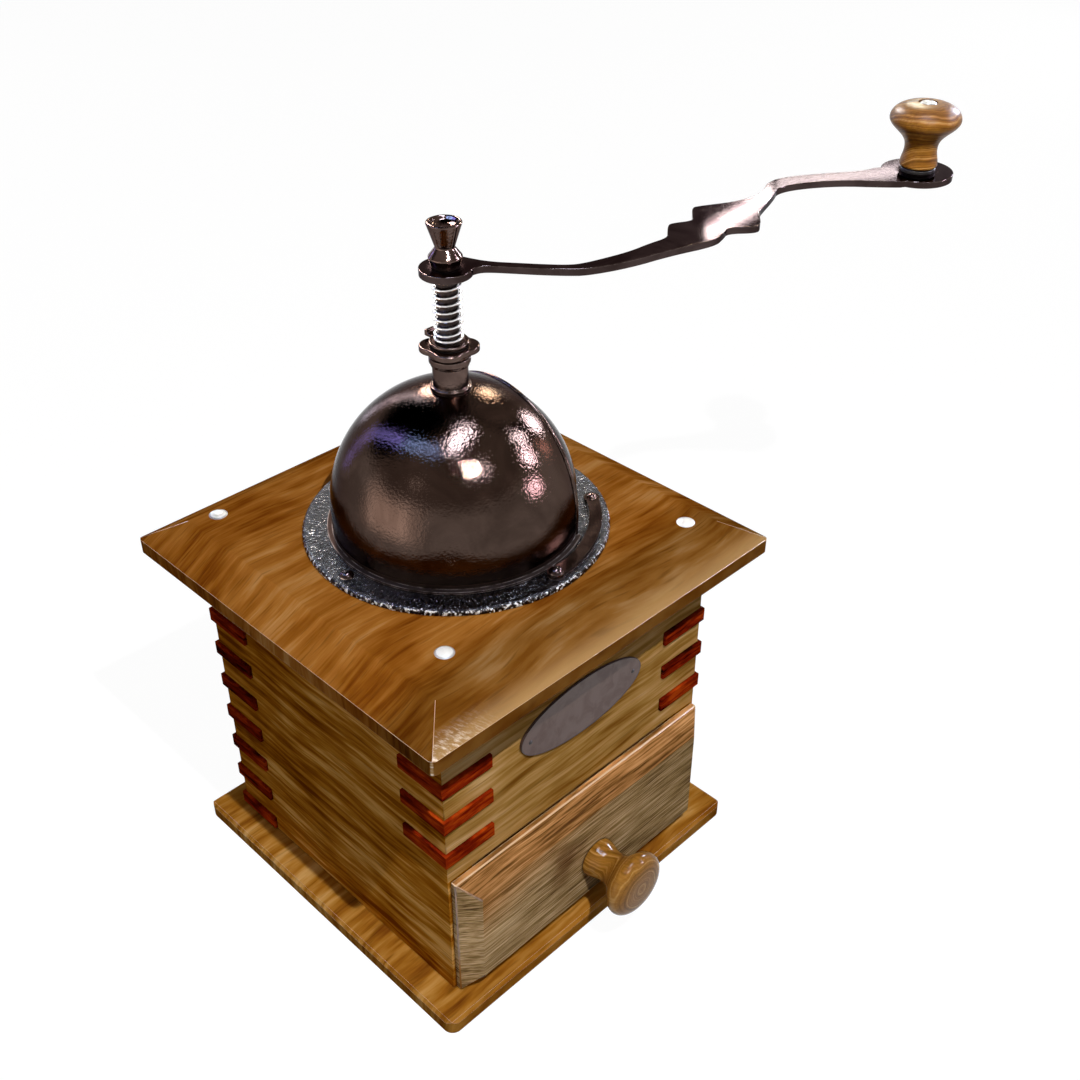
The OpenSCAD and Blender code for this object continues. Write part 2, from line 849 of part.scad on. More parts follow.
module sleeve_nut() {
    color(steel) difference() {
        translate([0, 0, sleeve_nut_top_z - sleeve_nut_h])
            cylinder(r = sleeve_nut_r, h = sleeve_nut_h, $fn = 6);
        translate([0, 0, sleeve_nut_top_z - sleeve_nut_h - past])
            cylinder(r = sleeve_r, h = sleeve_nut_h + 2 * past);
    }
}

// ---------- spindle and adjuster ----------

nut_z = sleeve_top_z + slip;
lobe_t = 0.6 * nut_h;
lobe_r = 5;
lock_z = nut_z + nut_h + slip;
spring_z = lock_z + lock_t;
crank_z = spring_z + spring_len;
crank_top_z = crank_z + crank_t;
spindle_bottom_z = bridge_z - 2;
spindle_flat = 0.7;
// The spindle's thick part, which fills the spring
core_r = spring_r - wire_d - slip;
core_z = spring_z + slip;
spindle_square = 1.4 * spindle_r;
stud_r = 0.6 * spindle_r;
stud_len = 0.7 * top_nut_h;
tab_w = 4;
tab_rise = 2.2;

module adjusting_nut() {
    color(bronze) difference() {
        translate([0, 0, nut_z]) {
            cylinder(r = nut_r, h = nut_h);
            translate([0, 0, nut_h - lobe_t]) linear_extrude(lobe_t) {
                circle(nut_r + 1);
                for (a = [45:90:315]) rotate(a) translate([nut_reach - lobe_r, 0]) circle(lobe_r);
            }
        }
        translate([0, 0, nut_z - past]) cylinder(r = spindle_r + running, h = nut_h + 2 * past);
    }
}

// The D-shaped section of the spindle, grown by a clearance
module flatted_circle(grow) {
    difference() {
        circle(spindle_r + grow);
        translate([spindle_r - spindle_flat + grow, -spindle_r - past])
            square([spindle_r, 2 * (spindle_r + past)]);
    }
}

module lock_plate() {
    color(bronze) translate([0, 0, lock_z]) difference() {
        union() {
            cylinder(r = nut_r - 0.6, h = lock_t);
            translate([-tab_w / 2, 0, 0]) cube([tab_w, nut_reach, lock_t]);
            translate([-tab_w / 2, nut_reach - lock_t, 0]) cube([tab_w, lock_t, tab_rise]);
        }
        translate([0, 0, -past]) linear_extrude(lock_t + 2 * past) flatted_circle(running);
    }
}

// Points round the spring's wire, section by section; the end turns lie close
wire_sides = 8;
turn_steps = 16;
coil_steps = spring_turns * turn_steps;
wire_r = wire_d / 2;
end_turn = 1 / spring_turns;

// Share of the spring's height at a share t of its wire: slow over the first and the last turn
function coil_rise(t) =
    let (slow = 0.45 * end_turn)
    t < end_turn ? slow * t / end_turn
    : t > 1 - end_turn ? 1 - slow * (1 - t) / end_turn
    : slow + (1 - 2 * slow) * (t - end_turn) / (1 - 2 * end_turn);

function coil_point(i, j) =
    let (a = 360 * i / turn_steps, b = 360 * j / wire_sides)
    let (r = spring_r - wire_r + wire_r * cos(b))
    [
        r * cos(a), r * sin(a),
        spring_z + wire_r + (spring_len - wire_d) * coil_rise(i / coil_steps) + wire_r * sin(b)
    ];

module spring() {
    points = [for (i = [0:coil_steps]) for (j = [0:wire_sides - 1]) coil_point(i, j)];
    walls = [for (i = [0:coil_steps - 1]) for (j = [0:wire_sides - 1])
        let (k = (j + 1) % wire_sides, p = i * wire_sides, q = p + wire_sides)
        [p + j, q + j, q + k, p + k]];
    ends = [
        [for (j = [0:wire_sides - 1]) j],
        [for (j = [wire_sides - 1:-1:0]) coil_steps * wire_sides + j]
    ];
    color(nickel) polyhedron(points, concat(walls, ends), convexity = 10);
}

module spindle_square_cut(z0, height) {
    translate([-spindle_square / 2, -spindle_square / 2, z0])
        cube([spindle_square, spindle_square, height]);
}

module spindle() {
    color(steel) difference() {
        union() {
            translate([0, 0, spindle_bottom_z]) cylinder(r = spindle_r, h = crank_z - spindle_bottom_z);
            translate([0, 0, core_z]) cylinder(r = core_r, h = crank_z - core_z);
            spindle_square_cut(crank_z - past, crank_t + past);
            translate([0, 0, crank_top_z]) cylinder(r = stud_r, h = stud_len);
        }
        translate([spindle_r - spindle_flat, -spindle_r - past, lock_z - thread_pitch - slip])
            cube([spindle_r, 2 * (spindle_r + past), core_z - lock_z + thread_pitch + slip]);
        cone_pin_shape();
    }
}

// ---------- crank and knobs ----------

// The crank's outline in its own frame, x from the spindle to the knob, drawn at this length
crank_drawn_len = 189.4;

// The left edge, from the spindle outward: the bowed neck and the first leaf with its step,
// the notch, the thorn, then the second leaf and the wrist before the round end
crank_left = [
    [5, 8.5], [8, 5], [10.5, 1.5], [13, -1.5], [16.5, -4.5], [21, -7.5], [27.5, -12], [34, -16],
    [38.5, -17.5], [48.5, -17], [57.5, -16], [66, -13.5], [74, -12], [76.5, -8], [79.5, -3.5],
    [81.5, -2], [89.5, -3.5], [91.5, 0], [95.5, 6.5], [98, 7], [112, 4.5], [122, 6], [128.5, 10],
    [132.5, 14.5], [140.5, 17], [157.5, 13], [171, 8.5], [180, 9.5]
];

// The right edge, the same way: the neck, the broad belly, the thorn, the waist, the second leaf
crank_right = [
    [1.5, -8.5], [5.5, -5.5], [9.5, -4.5], [13, -6], [19.5, -10.5], [26, -15], [32.5, -19],
    [38.5, -22], [53.5, -23], [70, -21], [87, -21], [93, -17], [96.5, -14], [105.5, -18],
    [108.5, -16], [112.5, -9.5], [114, -7], [128.5, 4], [133, 8.5], [142.5, 9], [158, 4.5],
    [170.5, -3.5], [180, -8.5]
];

// Rounds a closed outline by cutting a quarter off both ends of each edge, n times
function softened(p, n) = n == 0 ? p : softened(
    [for (i = [0:len(p) - 1]) let (q = p[(i + 1) % len(p)])
        each [0.75 * p[i] + 0.25 * q, 0.25 * p[i] + 0.75 * q]],
    n - 1);

module crank_plan() {
    outline = concat([[0, 4]], crank_left, [[crank_drawn_len, 0]], reversed(crank_right), [[0, -4]]);
    polygon(softened(outline * (crank_len / crank_drawn_len), 2));
}

knob_pin_r = 2.2;

module at_knob() {
    rotate(crank_angle) translate([crank_len, 0, 0]) children();
}

module crank() {
    color(bronze) difference() {
        translate([0, 0, crank_z]) {
            rotate(crank_angle) linear_extrude(crank_t) crank_plan();
            cylinder(r = hub_r, h = crank_t);
            at_knob() cylinder(r = end_r, h = crank_t);
        }
        spindle_square_cut(crank_z - past, crank_t + 2 * past);
        at_knob() translate([0, 0, crank_z - past]) cylinder(r = knob_pin_r, h = crank_t + 2 * past);
    }
}

module top_nut() {
    // Shares of the rim's radius and of the height: the double cone, the waist, then the cup
    shape = [
        [0.77, 0], [0.96, 0.24], [0.55, 0.445], [0.98, 0.95], [1, 0.98], [0.93, 1], [0.84, 1],
        [0.66, 0.93], [0.3, 0.89]
    ];
    color(bronze) translate([0, 0, crank_top_z]) difference() {
        turn([for (p = shape) [p[0] * top_nut_r, p[1] * top_nut_h]]);
        translate([0, 0, -past]) cylinder(r = stud_r, h = stud_len + past);
    }
}

// Side of a turned knob, from its foot at 0 to its end: foot, waist, round head. A larger flare
// brings the neck's widening nearer to the head, and a smaller dome makes the end flatter.
knob_foot_round = 0.8;

function knob_side(foot_r, waist_r, head_r, length, waist_at, head_at, flare, dome) = concat(
    arc([foot_r - knob_foot_round, knob_foot_round], knob_foot_round, -90, 0, 4),
    turned([[foot_r, knob_foot_round], [waist_r, waist_at]], 8),
    [for (i = [0:15]) let (t = i / 16)
        [ease(waist_r, head_r, pow(t, flare)), waist_at + (head_at - waist_at) * t]],
    [for (i = [0:14]) let (a = 88 * i / 14)
        [head_r * pow(cos(a), dome), head_at + (length - head_at) * sin(a)]]);

knob_washer_r = knob_foot_r - 0.4;
knob_washer_t = 1.5;
knob_z = crank_top_z + knob_washer_t + slip;
knob_pin_head_r = 3.1;
knob_pin_head_h = 1.1;
knob_pin_seat = 0.8;

module knob_washer() {
    color(black_iron) at_knob() ring(knob_washer_r, knob_pin_r, crank_top_z, crank_top_z + knob_washer_t);
}

module crank_knob() {
    color(honey) at_knob() translate([0, 0, knob_z]) difference() {
        turn(knob_side(knob_foot_r, knob_waist_r, knob_r, knob_h, 0.28 * knob_h, 0.75 * knob_h,
            1.3, 0.73));
        translate([0, 0, -past]) cylinder(r = knob_pin_r + running, h = knob_h + 2 * past);
        translate([0, 0, knob_h - knob_pin_seat]) cylinder(r = knob_pin_head_r + slip, h = knob_h);
    }
}

// The knob's pin: a domed head above, a riveted head below the crank
module knob_pin() {
    head_z = knob_z + knob_h - knob_pin_seat + slip;
    rivet_h = 1;
    color(nickel) at_knob() {
        translate([0, 0, crank_z - rivet_h]) cylinder(r = knob_pin_r, h = head_z - crank_z + rivet_h);
        translate([0, 0, crank_z]) mirror([0, 0, 1]) domed_head(1.6 * knob_pin_r, rivet_h);
        translate([0, 0, head_z]) domed_head(knob_pin_head_r, knob_pin_head_h);
    }
}

// ---------- drawer ----------

face_z = box_z + slip;
face_half = half_box - face_inset;
face_back_y = -half_box - slip;
edge_y = face_back_y - face_edge;
field_y = edge_y - field_rise;
plug_t = 6;
plug_y = face_back_y + plug_t;
bay_half = half_bay - slip;
drawer_back_y = half_bay - stop_size[1] - slip;
groove_d = 2;
floor_lift = 3;
drawer_floor_z = face_z + floor_lift;
pull_z = face_z + 0.427 * face_h;
pull_screw_r = 1.8;
pull_screw_head_r = 3.4;
pull_screw_head_h = 2;

// The face's edge and its raised field, from the side and from below, meet along mitres
module drawer_field() {
    plan = [
        [-face_half, face_back_y], [face_half, face_back_y], [face_half, edge_y],
        [face_half - field_bevel, field_y], [field_bevel - face_half, field_y], [-face_half, edge_y]
    ];
    side = [
        [face_back_y, 0], [face_back_y, face_h], [edge_y, face_h], [field_y, face_h - field_bevel_top],
        [field_y, field_bevel], [edge_y, 0]
    ];
    translate([0, 0, face_z]) intersection() {
        linear_extrude(face_h) polygon(plan);
        translate([-face_half, 0, 0]) rotate([90, 0, 90]) linear_extrude(2 * face_half) polygon(side);
    }
}

module drawer_front() {
    color(pale_oak) difference() {
        union() {
            drawer_field();
            translate([-bay_half, face_back_y, face_z]) cube([2 * bay_half, plug_t, drawer_h]);
        }
        drawer_bottom_shape();
        pull_screw();
    }
}

module drawer_side() {
    difference() {
        translate([bay_half - drawer_wall, plug_y, face_z])
            cube([drawer_wall, drawer_back_y - plug_y, drawer_h]);
        drawer_bottom_shape();
        back_tongues();
    }
}

module drawer_side_right() { color(pale_oak) drawer_side(); }

module drawer_side_left() { color(pale_oak) mirror([1, 0, 0]) drawer_side(); }

// The drawer's back stands in grooves in its sides
module back_tongues() {
    half = bay_half - drawer_wall + groove_d;
    translate([-half, drawer_back_y - 2 * drawer_wall, face_z]) cube([2 * half, drawer_wall, drawer_h]);
}

module drawer_back() {
    color(pale_oak) difference() {
        back_tongues();
        drawer_bottom_shape();
    }
}

module drawer_bottom_shape() {
    half = bay_half - drawer_wall + groove_d;
    front_y = plug_y - groove_d;
    translate([-half, front_y, drawer_floor_z])
        cube([2 * half, drawer_back_y - 2 * drawer_wall + groove_d - front_y, drawer_bottom_t]);
}

module drawer_bottom() { color(pale_oak) drawer_bottom_shape(); }

module at_pull() {
    translate([pull_x, field_y, pull_z]) rotate([90, 0, 0]) children();
}

module drawer_knob() {
    color(honey) difference() {
        at_pull() turn(knob_side(pull_foot_r, pull_waist_r, pull_head_r, pull_len,
            0.33 * pull_len, 0.81 * pull_len, 1.22, 0.43));
        pull_screw();
    }
}

// Its head is sunk into the back of the drawer's front
module pull_screw() {
    y0 = plug_y;
    length = y0 - field_y + 0.6 * pull_len;
    translate([pull_x, y0, pull_z]) rotate([90, 0, 0]) {
        cylinder(r1 = pull_screw_head_r, r2 = pull_screw_r, h = pull_screw_head_h);
        cylinder(r = pull_screw_r, h = length);
    }
}

module drawer_knob_screw() { color(steel) pull_screw(); }

// ---------- the pieces ----------

base_board();
side_panel_left();
side_panel_right();
back_panel();
front_panel();
splines_back_left();
splines_back_right();
splines_front_left();
splines_front_right();
divider_board();
drawer_stops();
top_board();
top_pins();
base_screws();
name_plate();
name_plate_pins();
at_mill() hopper_bowl();
at_mill() flange_plate();
at_mill() flange_screws();
at_mill() hood();
at_mill() hood_clamps();
at_mill() clamp_rivets();
at_mill() bearing_sleeve();
at_mill() sleeve_nut();
at_mill() burr_ring();
at_mill() lower_bridge();
at_mill() bridge_screws();
at_mill() hood_door();
at_mill() door_button();
at_mill() adjusting_nut();
at_mill() lock_plate();
at_mill() spring();
at_mill() spindle();
at_mill() burr_cone();
at_mill() cone_pin();
at_mill() crank();
at_mill() top_nut();
at_mill() knob_washer();
at_mill() knob_pin();
at_mill() crank_knob();
drawer_front();
drawer_side_left();
drawer_side_right();
drawer_back();
drawer_bottom();
drawer_knob();
drawer_knob_screw();
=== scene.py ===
# %% [markdown]
# # A wooden box mill for coffee
# The mill is a jointed wooden case with a drawer below and a small iron mill above. A domed hood
# covers the bowl, and a crank on a sprung spindle turns the burr. The measured solids are loaded
# first, and everything here is dressed around them: edges are softened, and each surface gets a
# finish that is worked out in nodes, from how the real piece is sawn, turned, cast or plated.

# %% Load the solids
import json
import math

import bmesh
import bpy
from mathutils import Matrix, Vector


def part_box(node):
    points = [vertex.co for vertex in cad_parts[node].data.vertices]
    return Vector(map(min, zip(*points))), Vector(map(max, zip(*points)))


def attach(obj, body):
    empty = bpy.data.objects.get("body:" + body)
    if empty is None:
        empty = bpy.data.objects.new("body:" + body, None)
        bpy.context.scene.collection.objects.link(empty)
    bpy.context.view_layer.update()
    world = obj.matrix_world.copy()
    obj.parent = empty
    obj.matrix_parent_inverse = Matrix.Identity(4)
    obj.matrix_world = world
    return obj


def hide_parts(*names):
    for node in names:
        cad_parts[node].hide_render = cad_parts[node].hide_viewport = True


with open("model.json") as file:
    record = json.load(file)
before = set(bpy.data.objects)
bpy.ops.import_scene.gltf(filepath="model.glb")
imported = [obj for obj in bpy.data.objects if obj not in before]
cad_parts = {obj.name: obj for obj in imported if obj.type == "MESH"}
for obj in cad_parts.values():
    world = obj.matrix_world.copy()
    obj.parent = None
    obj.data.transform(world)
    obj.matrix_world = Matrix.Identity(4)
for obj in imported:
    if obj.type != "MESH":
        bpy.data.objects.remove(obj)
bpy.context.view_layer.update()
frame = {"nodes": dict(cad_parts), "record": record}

MM = 0.001
HOOD_CENTRE = Vector((1.1, -1.1, 158.6)) * MM
solids = frame["nodes"]
record = frame["record"]
carrier = {node: body for body, members in record["behaviour"]["bodies"].items() for node in members}
print("solids:", len(solids), "bodies:", sorted(set(carrier.values())))

# %% [markdown]
# ## The camera
# The camera looks down at one corner of the case, along the diagonal of a cube. It could be aimed
# with three angles, but along that diagonal its axes are short whole numbers, so the matrix is built
# from them and nothing has to be rounded. A field of view is easier to judge than a focal length,
# so the lens is worked out from it.

# %% Camera
def build_camera(place, field_of_view):
    """A camera at a place, with its field of view as an angle."""
    data = bpy.data.cameras.new("camera")
    data.sensor_width = 36
    data.lens = data.sensor_width / 2 / math.tan(field_of_view / 2)
    data.clip_start = 0.01
    camera = bpy.data.objects.new("camera", data)
    bpy.context.scene.collection.objects.link(camera)
    right = Vector((1, -1, 0)).normalized()
    up = Vector((1, 1, 2)).normalized()
    back = right.cross(up)
    turn = Matrix((right, up, back)).transposed().to_4x4()
    camera.matrix_world = Matrix.Translation(place) @ turn
    bpy.context.scene.camera = camera
    return camera


camera = build_camera(Vector((-248.3, -292.2, 410.0)) * MM, math.radians(45))
print("lens:", round(camera.data.lens, 2), "mm")

# %% [markdown]
# ## Helpers for node trees
# A finish is a small program made of nodes. Written out in full, each node takes three or four
# lines, and the idea is lost among them. These helpers keep each step to one line: the first three
# hold colours and fill sockets, and the others wrap the nodes that are used most.

# %% Colours and sockets
def rgb(code):
    """A colour written as #rrggbb, in the linear values that shader sockets hold."""
    channels = [int(code[i:i + 2], 16) / 255 for i in (1, 3, 5)]
    linear = [c / 12.92 if c <= 0.04045 else ((c + 0.055) / 1.055) ** 2.4 for c in channels]
    return (*linear, 1.0)


def fill(tree, made, key, value):
    """Links a socket to an output, or sets it to a plain value."""
    if isinstance(value, bpy.types.NodeSocket):
        tree.links.new(value, made.inputs[key])
    else:
        made.inputs[key].default_value = value


def add(tree, kind, sockets=None, **settings):
    """Adds one node, with its settings and its sockets filled."""
    made = tree.nodes.new(kind)
    for name, value in settings.items():
        setattr(made, name, value)
    for key, value in (sockets or {}).items():
        fill(tree, made, key, value)
    return made


print("middle grey, #808080, is", round(rgb("#808080")[0], 3), "of white")

# %% Numbers and vectors
def calc(tree, operation, a, b=0.0, c=0.0, clamp=False):
    """One sum on plain numbers."""
    sockets = {0: a, 1: b, 2: c}
    return add(tree, "ShaderNodeMath", sockets, operation=operation, use_clamp=clamp).outputs[0]


def vector(tree, operation, a, b=(0, 0, 0)):
    """One sum on vectors, whose answer is a vector."""
    return add(tree, "ShaderNodeVectorMath", {0: a, 1: b}, operation=operation).outputs[0]


def measure(tree, operation, a, b=(0, 0, 0)):
    """One sum on vectors, whose answer is a number, such as a length."""
    return add(tree, "ShaderNodeVectorMath", {0: a, 1: b}, operation=operation).outputs["Value"]


def coordinate(tree, value, axis):
    """The X, Y or Z of a vector."""
    return add(tree, "ShaderNodeSeparateXYZ", {"Vector": value}).outputs[axis]


def facing(tree, direction):
    """How squarely the surface faces a direction: 1 towards it, 0 edge on, -1 away."""
    normal = add(tree, "ShaderNodeNewGeometry").outputs["Normal"]
    return measure(tree, "DOT_PRODUCT", normal, direction)


def spread(tree, value, low, high, to_low=0.0, to_high=1.0):
    """Stretches a value from one range to another, with soft ends."""
    sockets = {"Value": value, "From Min": low, "From Max": high, "To Min": to_low, "To Max": to_high}
    return add(tree, "ShaderNodeMapRange", sockets, interpolation_type="SMOOTHSTEP").outputs["Result"]


UP = (0, 0, 1)
FORWARD = (0, -1, 0)
print("up:", UP, "towards the front of the case:", FORWARD)

# %% Patterns, colour bands and relief
def noise(tree, place, scale, detail=2.0, roughness=0.5, distortion=0.0):
    """Cloudy noise; its outputs are Fac, a value, and Color, three values that differ."""
    sockets = {"Vector": place, "Scale": scale, "Detail": detail, "Roughness": roughness,
               "Distortion": distortion}
    return add(tree, "ShaderNodeTexNoise", sockets).outputs


def mix(tree, share, a, b, blend="MIX"):
    """Blends two colours; share is how much of the second."""
    made = add(tree, "ShaderNodeMix", data_type="RGBA", blend_type=blend)
    # The node has sockets for every kind of value, and the two for colours are 6 and 7
    for index, value in ((0, share), (6, a), (7, b)):
        fill(tree, made, index, value)
    return made.outputs[2]


def stain(tree, colour, mask, strength, code, blend="MIX"):
    """Lays another colour over the first where a mask is high."""
    return mix(tree, calc(tree, "MULTIPLY", mask, strength), colour, rgb(code), blend)


def ramp(tree, value, colours):
    """A colour band with evenly spaced colours."""
    made = add(tree, "ShaderNodeValToRGB", {"Fac": value})
    band = made.color_ramp
    while len(band.elements) < len(colours):
        band.elements.new(1.0)
    for step, (element, colour) in enumerate(zip(band.elements, colours)):
        element.position = step / (len(colours) - 1)
        element.color = rgb(colour)
    return made.outputs["Color"]


def relief(tree, height, strength, distance):
    """A bump of the given height in metres."""
    sockets = {"Height": height, "Strength": strength, "Distance": distance}
    return add(tree, "ShaderNodeBump", sockets).outputs[0]


print("a noise of scale 1000 has a cycle of", 1 / 1000 / MM, "mm")

# %% [markdown]
# A node group is a function for nodes: its inputs and outputs have names, and each finish that uses
# it gives it other values. A finish starts from the places of the mill's own frame, in metres, and
# not from a fitted image, so that grain runs on over a corner without a seam.

# %% Groups and materials
def new_group(name, inputs, outputs):
    """A shader node group; inputs are (name, kind, value) and outputs (name, kind)."""
    group = bpy.data.node_groups.new(name, "ShaderNodeTree")
    for label, kind, value in inputs:
        socket = group.interface.new_socket(label, in_out="INPUT", socket_type="NodeSocket" + kind)
        if value is not None:
            socket.default_value = value
    for label, kind in outputs:
        group.interface.new_socket(label, in_out="OUTPUT", socket_type="NodeSocket" + kind)
    return group, group.nodes.new("NodeGroupInput").outputs, group.nodes.new("NodeGroupOutput").inputs


def place_group(tree, group, **values):
    """Puts a group in a tree, with values for its named sockets."""
    made = tree.nodes.new("ShaderNodeGroup")
    made.node_tree = group
    for name, value in values.items():
        fill(tree, made, name, value)
    return made.outputs


def new_material(name):
    """An empty finish: its tree, its shader, and places in metres in the mill's own frame."""
    material = bpy.data.materials.new(name)
    material.use_nodes = True
    tree = material.node_tree
    place = add(tree, "ShaderNodeTexCoord").outputs["Object"]
    return material, tree, tree.nodes["Principled BSDF"], place


print("plain finishes that came with the solids:", len(bpy.data.materials))

# %% [markdown]
# ## Shared effects
# Five effects are used by several finishes, so each is a node group that is built once.
#
# **Streaked grain** is what a saw uncovers in a board: long streaks, fine lines inside them, soft
# clouds and dark pores. A wave texture would give even stripes, so noise is used instead, drawn out
# along the grain, with its places bent a little by a slower noise.

# %% Streaked grain
def build_streaked_grain():
    """Noise drawn out along the grain. Per is how many cycles a metre there are along each axis."""
    group, given, out = new_group(
        "Streaked grain",
        [("Place", "Vector", None), ("Per", "Vector", (20.0, 300.0, 60.0)),
         ("Wander", "Vector", (0.0, 0.004, 0.0))],
        [("Streaks", "Float"), ("Lines", "Float"), ("Clouds", "Float"), ("Pores", "Float")])
    # A slow drift bends the streaks sideways, as the tree grew
    drift = noise(group, given["Place"], 30.0, 0.0)["Color"]
    drift = vector(group, "MULTIPLY", vector(group, "SUBTRACT", drift, (0.5, 0.5, 0.5)), given["Wander"])
    bent = vector(group, "ADD", given["Place"], drift)
    drawn = vector(group, "MULTIPLY", bent, given["Per"])
    streaks = noise(group, drawn, 1.0, 3.0, 0.55)["Fac"]
    lines = noise(group, drawn, 2.7, 3.0, 0.6)["Fac"]
    clouds = noise(group, bent, 24.0, 2.0, 0.5, 0.6)["Fac"]
    pores = noise(group, vector(group, "MULTIPLY", drawn, (3.0, 5.0, 5.0)), 1.0, 1.0)["Fac"]
    group.links.new(spread(group, streaks, 0.34, 0.66), out["Streaks"])
    group.links.new(spread(group, lines, 0.36, 0.64), out["Lines"])
    group.links.new(spread(group, clouds, 0.34, 0.66), out["Clouds"])
    group.links.new(spread(group, pores, 0.58, 0.74), out["Pores"])
    return group


streaked_grain = build_streaked_grain()
print(streaked_grain.name, "nodes:", len(streaked_grain.nodes))

# %% [markdown]
# **Ring grain** is what a lathe uncovers in a knob. A tree's rings are shells round its pith, so the
# pattern depends only on the distance from one line, and the turned shape cuts through it by itself.
# Each ring's shade comes from noise of that distance, so that no two rings are alike.

# %% Ring grain
def build_ring_grain():
    """Year rings round the X axis of the given place, bent by a slow drift."""
    group, given, out = new_group(
        "Ring grain",
        [("Place", "Vector", None), ("Ring", "Float", 0.0022), ("Wobble", "Float", 0.004)],
        [("Rings", "Float"), ("Fibres", "Float")])
    wobble = noise(group, given["Place"], 55.0, 2.0, 0.5, 0.6)["Color"]
    wobble = vector(group, "SUBTRACT", wobble, (0.5, 0.5, 0.5))
    amount = add(group, "ShaderNodeCombineXYZ",
                 {"X": given["Wobble"], "Y": given["Wobble"], "Z": given["Wobble"]}).outputs[0]
    bent = vector(group, "ADD", given["Place"], vector(group, "MULTIPLY", wobble, amount))
    radius = measure(group, "LENGTH", vector(group, "MULTIPLY", bent, (0.0, 1.0, 1.0)))
    count = calc(group, "DIVIDE", radius, given["Ring"])
    steps = add(group, "ShaderNodeCombineXYZ", {"X": count}).outputs[0]
    rings = noise(group, steps, 1.0, 2.0, 0.7)["Fac"]
    drawn = vector(group, "MULTIPLY", bent, (110.0, 1300.0, 1300.0))
    fibres = noise(group, drawn, 1.0, 3.0, 0.6)["Fac"]
    group.links.new(spread(group, rings, 0.25, 0.75), out["Rings"])
    group.links.new(spread(group, fibres, 0.30, 0.70), out["Fibres"])
    return group


ring_grain = build_ring_grain()
print(ring_grain.name, "nodes:", len(ring_grain.nodes))

# %% [markdown]
# **Worn edge** finds corners, where handled wood darkens and metal shines. A Bevel node gives the
# normal that a rounded corner would have, and where it differs from the real one, there is a corner.
# ** Painted shade** darkens creases and joints, from how much of the surroundings a point is hidden
# from, and so draws dark lines along the joints. **Speckle** gives fine pits and broad smears.
# All three could be painted by hand, but then every change of shape would call for new paint.

# %% Worn edge
def build_worn_edge():
    """High on corners, up to the given reach from them, with breaks along their length."""
    group, given, out = new_group(
        "Worn edge",
        [("Place", "Vector", None), ("Reach", "Float", 0.0008), ("Breaks", "Float", 300.0)],
        [("Edge", "Float")])
    rounded = add(group, "ShaderNodeBevel", {"Radius": given["Reach"]}, samples=6).outputs["Normal"]
    flat = add(group, "ShaderNodeNewGeometry").outputs["Normal"]
    edge = spread(group, measure(group, "DOT_PRODUCT", rounded, flat), 0.995, 0.90)
    breaks = noise(group, given["Place"], given["Breaks"], 3.0, 0.6)["Fac"]
    group.links.new(calc(group, "MULTIPLY", edge, spread(group, breaks, 0.35, 0.6), clamp=True), out["Edge"])
    return group


worn_edge = build_worn_edge()
print(worn_edge.name, "nodes:", len(worn_edge.nodes))

# %% Painted shade and speckle
def build_painted_shade():
    """Painted shade: high where something stands nearer than the given reach."""
    group, given, out = new_group("Painted shade", [("Reach", "Float", 0.0012)], [("Seam", "Float")])
    hidden = add(group, "ShaderNodeAmbientOcclusion", {"Distance": given["Reach"]}, samples=6).outputs["AO"]
    group.links.new(spread(group, hidden, 0.75, 0.35), out["Seam"])
    return group


def build_speckle():
    """Fine pits and broad smears, each with its own number of cycles a metre."""
    group, given, out = new_group(
        "Speckle",
        [("Place", "Vector", None), ("Fine", "Float", 1400.0), ("Broad", "Float", 60.0)],
        [("Pits", "Float"), ("Smears", "Float")])
    pits = noise(group, given["Place"], given["Fine"], 2.0, 0.6)["Fac"]
    smears = noise(group, given["Place"], given["Broad"], 4.0, 0.6, 0.8)["Fac"]
    group.links.new(pits, out["Pits"])
    group.links.new(spread(group, smears, 0.35, 0.65), out["Smears"])
    return group


painted_shade = build_painted_shade()
speckle = build_speckle()
print("groups:", [group.name for group in bpy.data.node_groups])

# %% [markdown]
# ## Wood
# The boards are one streaky timber under thin varnish. Before the boards themselves come the marks
# that some of them carry, mostly painted light: each is a function that takes a board's colour and
# gives it back with the mark laid over it, so that a board can be given any of them, or none.
#
# The top board has a painted greyish shade along its front strip, a painted pale sheen on its front
# bevel, and a painted glint of pale streaks near its left corner. The drawer has a painted shadow of
# its knob on its field, and its upper bevel is tinted warmer than its field. Where an edge is turned
# up, a painted highlight makes it pale.

# %% Painted light and tints on the boards
FIBRE_SCALE = (110.0, 1300.0, 900.0)
# Where the painted shadow of the drawer's knob lies, how far it reaches, and how ragged its edge is
KNOB_SHADOW_PLACE = Vector((-14, -71, 40)) * MM
KNOB_SHADOW_REACH = 14 * MM
KNOB_SHADOW_RAGGED = 16 * MM


